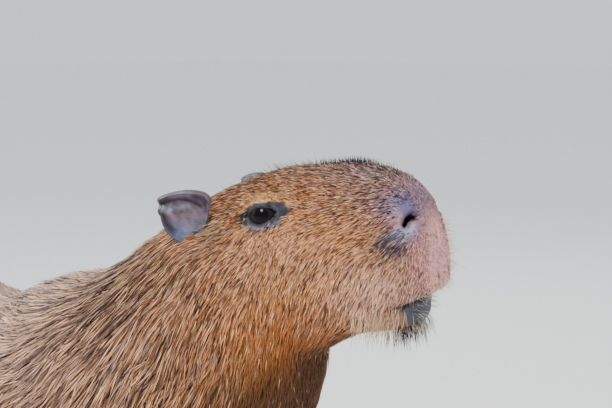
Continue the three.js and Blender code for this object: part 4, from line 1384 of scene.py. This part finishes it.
# Where one region of the coat ends and the next begins, in the body's frame; the face's u is the head's
borders = {"faceU": -60, "faceX": 300, "faceZ": 400, "legTop": 215, "legAside": 40, "foreX": 190,
           "hindX": -290, "neckX": 225, "rumpX": -120}


def regionOf(points):
    head, body = toHead(points), toBody(points)
    x, y, z = body.T
    onHead = (head[:, 0] > borders["faceU"]) & (z > borders["faceZ"]) & (x > borders["faceX"])
    onLeg = (x > borders["foreX"]) | (x < borders["hindX"])
    onLeg = onLeg & (z < borders["legTop"]) & (np.abs(y) > borders["legAside"])
    onNeck = (x + 0.5 * (z - 450) > borders["neckX"]) & ~onHead & ~onLeg
    onTrunk = np.where(onNeck, 3, np.where(x > borders["rumpX"], 4, 5))
    return np.where(onHead, 0, np.where(onLeg, np.where(x > 0, 1, 2), onTrunk))


# Region, its number, how thick its coat is and how slim its tufts, its map, and the stations of a tuft
regions = [
    ("face", 0, 1.04, 0.79, headMap, 2),
    ("foreleg", 1, 0.42, 1.15, lambda side: legMap(200, 380), 2),
    ("hindleg", 2, 0.42, 1.15, lambda side: legMap(-520, -300), 2),
    ("neck", 3, 1.2, 0.56, lambda side: bodyMap(150, 480, 440), 3),
    ("flank", 4, 0.74, 0.74, lambda side: bodyMap(-130, 300, 340), 2),
    ("rump", 5, 0.7, 0.84, lambda side: bodyMap(-580, -110, 340), 2),
]
skinRegions = regionOf(skinMiddles)
skinSides = sideOf(skinMiddles)
for regionName, kind, amount, slim, mapOf, stations in regions:
    for word, side in sides.items():
        chosen = (skinRegions == kind) & (skinSides == side)
        makeCoat(f"coat_{regionName}_{word}", chosen, amount, slim, mapOf(side), stations)


# Stiff bristles in the head's frame, mirrored:
# place, reach, how many, way, length, thickness, colour, how much they spread
bristles = {
    "snout": ((66, 0, 26), (34, 16, 12), 420, (-0.25, 0, 1), 8, 0.6, (0.03, 0.022, 0.022), 0.22),
    "bridge": ((98, 0, 14), (20, 22, 12), 220, (0.1, 0, 1), 4, 0.5, (0.05, 0.04, 0.04), 0.25),
    "crown": ((10, 0, 38), (50, 30, 14), 120, (-0.8, 0, 0.6), 11, 0.6, (0.08, 0.05, 0.035), 0.2),
    "lip": ((123, 26, -50), (9, 10, 46), 210, (0.87, 0.45, 0.05), 8.5, 0.27, (0.80, 0.62, 0.48), 0.25),
    "upperLip": ((120, 20, -88), (14, 22, 8), 90, (0.6, 0.3, -0.7), 9, 0.28, (0.80, 0.66, 0.52), 0.3),
    "pad": ((98, 46, -66), (20, 14, 22), 70, (0.1, 0.6, -0.75), 20, 0.36, (0.8, 0.68, 0.55), 0.3),
    "darkPad": ((102, 44, -56), (16, 12, 16), 60, (0.1, 0.6, -0.75), 24, 0.36, (0.03, 0.022, 0.02), 0.3),
    "chin": ((100, 0, -119), (14, 24, 6), 200, (0.5, 0, -0.85), 13, 0.36, (0.74, 0.62, 0.50), 0.3),
    "lowerLip": ((107, 17, -106), (5, 6, 8), 30, (0.85, 0.45, -0.4), 10, 0.3, (0.80, 0.70, 0.58), 0.3),
    "darkChin": ((90, 12, -118), (20, 18, 8), 110, (-0.1, 0, -1), 20, 0.55, (0.035, 0.026, 0.022), 0.22),
    "jaw": ((76, 38, -104), (20, 16, 14), 200, (-0.25, 0.2, -0.95), 20, 0.6, (0.90, 0.60, 0.40), 0.18),
    "earFront": ((-48, 66, 2), (8, 12, 12), 110, (-0.75, 0.3, -0.45), 13, 0.7, (0.60, 0.36, 0.18), 0.3),
    "earFall": ((-48, 67, 4), (7, 12, 16), 120, (-0.35, 0.6, -0.75), 22, 0.6, (0.38, 0.25, 0.15), 0.3),
    "earBase": ((-48, 68, 4), (7, 12, 16), 110, (-0.35, 0.6, -0.8), 21, 0.6, (0.06, 0.045, 0.04), 0.3),
    "brow": ((6, 60, 12), (20, 10, 6), 60, (-0.3, 0.6, 0.6), 7, 0.4, (0.25, 0.14, 0.07), 0.3),
    "lashes": ((2, 62, 8.2), (12, 8, 1.2), 24, (0.1, 0.9, -0.1), 6, 0.4, (0.02, 0.015, 0.015), 0.25),
}


def makeBristles(word, side):
    parts = []
    for name, (place, reach, count, way, length, thick, colour, spread) in bristles.items():
        head = toHead(skinMiddles)
        away = (head - np.array(place) * (1, side, 1)) / np.array(reach)
        inReach = (skinSides == side) * (np.abs(away).max(1) < 1.4)
        wanted = skinAreas * np.exp(-((away ** 2).sum(1)) * 1.5) * inReach
        wanted = wanted * (lineBrush(head, nostril["line"], 10) < 0.4)
        if name != "lashes":
            wanted = wanted * (openingShare(head) > 1.5)
        wanted = wanted / wanted.sum() * count * (0.5 if place[1] == 0 else 1)
        roots, normals = scatter(wanted, coat["seed"] + len(name))
        draw = np.random.default_rng(len(roots))
        heading = np.tile(np.array(way) * (1, side, 1) @ headAxes.T, (len(roots), 1))
        heading = unit(heading + normals * 0.35 + spread * draw.normal(size=(len(roots), 3)))
        long = length * draw.uniform(0.55, 1.15, len(roots))
        droop = np.array([0, 0, -0.12]) * (length > 12)
        path = [roots - normals * mm]
        for k in range(1, 4):
            path.append(roots + (heading * k / 3 + droop * (k / 3) ** 2) * (long * mm)[:, None])
        norms = [unit(np.cross(heading, np.roll(heading, 1, 1)))] * 4
        parts.append((roots, path, norms, long, thick, colour))
    roots, long = np.concatenate([p[0] for p in parts]), np.concatenate([p[3] for p in parts])
    path = [np.concatenate([p[1][k] for p in parts]) for k in range(4)]
    norms = [np.concatenate([p[2][k] for p in parts]) for k in range(4)]
    wide = np.concatenate([np.full(len(p[0]), p[4]) for p in parts])
    tint = np.concatenate([np.tile(p[5], (len(p[0]), 1)) for p in parts])
    draw = np.random.default_rng(side + 7)
    tint = np.clip(tint * np.exp(draw.normal(0, 0.25, len(roots)))[:, None], shade["darkest"], 1)
    return bladeMesh("bristles_" + word, path, norms, wide, roots, draw, headMap(side), long, tint)


for word, side in sides.items():
    makeBristles(word, side)
print("coat done")

flesh = ["head", "lower_jaw", "neck", "chest", "trunk", "rump", "tail"]
for word in sides:
    flesh += [f"{part}_{word}" for part in
              ("ear", "upper_foreleg", "forearm", "forefoot", "thigh", "shank", "hindfoot")]
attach(skinObject, "root")
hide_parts(*flesh)


# The camera stands right of the animal and a little above its eye, and looks slightly down.
camera = {"away": 930, "above": 146, "aside": 35.3, "pitch": 8.38, "heading": (-0.669, 0.743), "lens": 65.1}


def placeCamera():
    data = bpy.data.cameras.new("camera")
    data.lens = camera["lens"]
    data.sensor_width = 36
    data.clip_start = 0.01
    made = newObject("camera", data)
    ahead = Vector((*camera["heading"], 0)).normalized()
    right = Vector((ahead.y, -ahead.x, 0))
    pitch = math.radians(camera["pitch"])
    offset = ahead * -camera["away"] + right * camera["aside"] + Vector((0, 0, camera["above"]))
    made.location = eyes["right"] + offset * mm
    look = ahead * math.cos(pitch) - Vector((0, 0, math.sin(pitch)))
    made.rotation_euler = look.to_track_quat("-Z", "Y").to_euler()
    bpy.context.scene.camera = made


studio = {
    "floor": (0.97, 0.97, 0.965),
    "floorSize": 60,
    "floorRough": 0.9,
    "world": (0.82, 0.86, 0.9),
    "worldStrength": 1.1,
    "key": {"at": (1.0, -1.7, 2.4), "size": 1.0, "power": 90, "colour": (1, 0.97, 0.92)},
    "fill": {"at": (-2.2, -1.2, 1.4), "size": 2.2, "power": 16, "colour": (0.9, 0.95, 1)},
    "rim": {"at": (-0.6, 2.2, 2.2), "size": 1.6, "power": 22, "colour": (1, 1, 1)},
}


def makeStudio():
    bpy.ops.mesh.primitive_plane_add(size=studio["floorSize"])
    floor = bpy.context.object
    floor.name = "floor"
    finish = bpy.data.materials.new("floor")
    finish.use_nodes = True
    shader = finish.node_tree.nodes["Principled BSDF"]
    shader.inputs["Base Color"].default_value = (*studio["floor"], 1)
    shader.inputs["Roughness"].default_value = studio["floorRough"]
    floor.data.materials.append(finish)
    world = bpy.data.worlds.new("studio")
    world.use_nodes = True
    world.node_tree.nodes["Background"].inputs["Color"].default_value = (*studio["world"], 1)
    world.node_tree.nodes["Background"].inputs["Strength"].default_value = studio["worldStrength"]
    bpy.context.scene.world = world
    for name in ("key", "fill", "rim"):
        light = bpy.data.lights.new(name, "AREA")
        light.shape = "DISK"
        light.energy = studio[name]["power"]
        light.size = studio[name]["size"]
        light.color = studio[name]["colour"]
        made = newObject(name, light)
        made.location = studio[name]["at"]
        aim = eyesMiddle * 0.6
        made.rotation_euler = (aim - made.location).to_track_quat("-Z", "Y").to_euler()


placeCamera()
makeStudio()
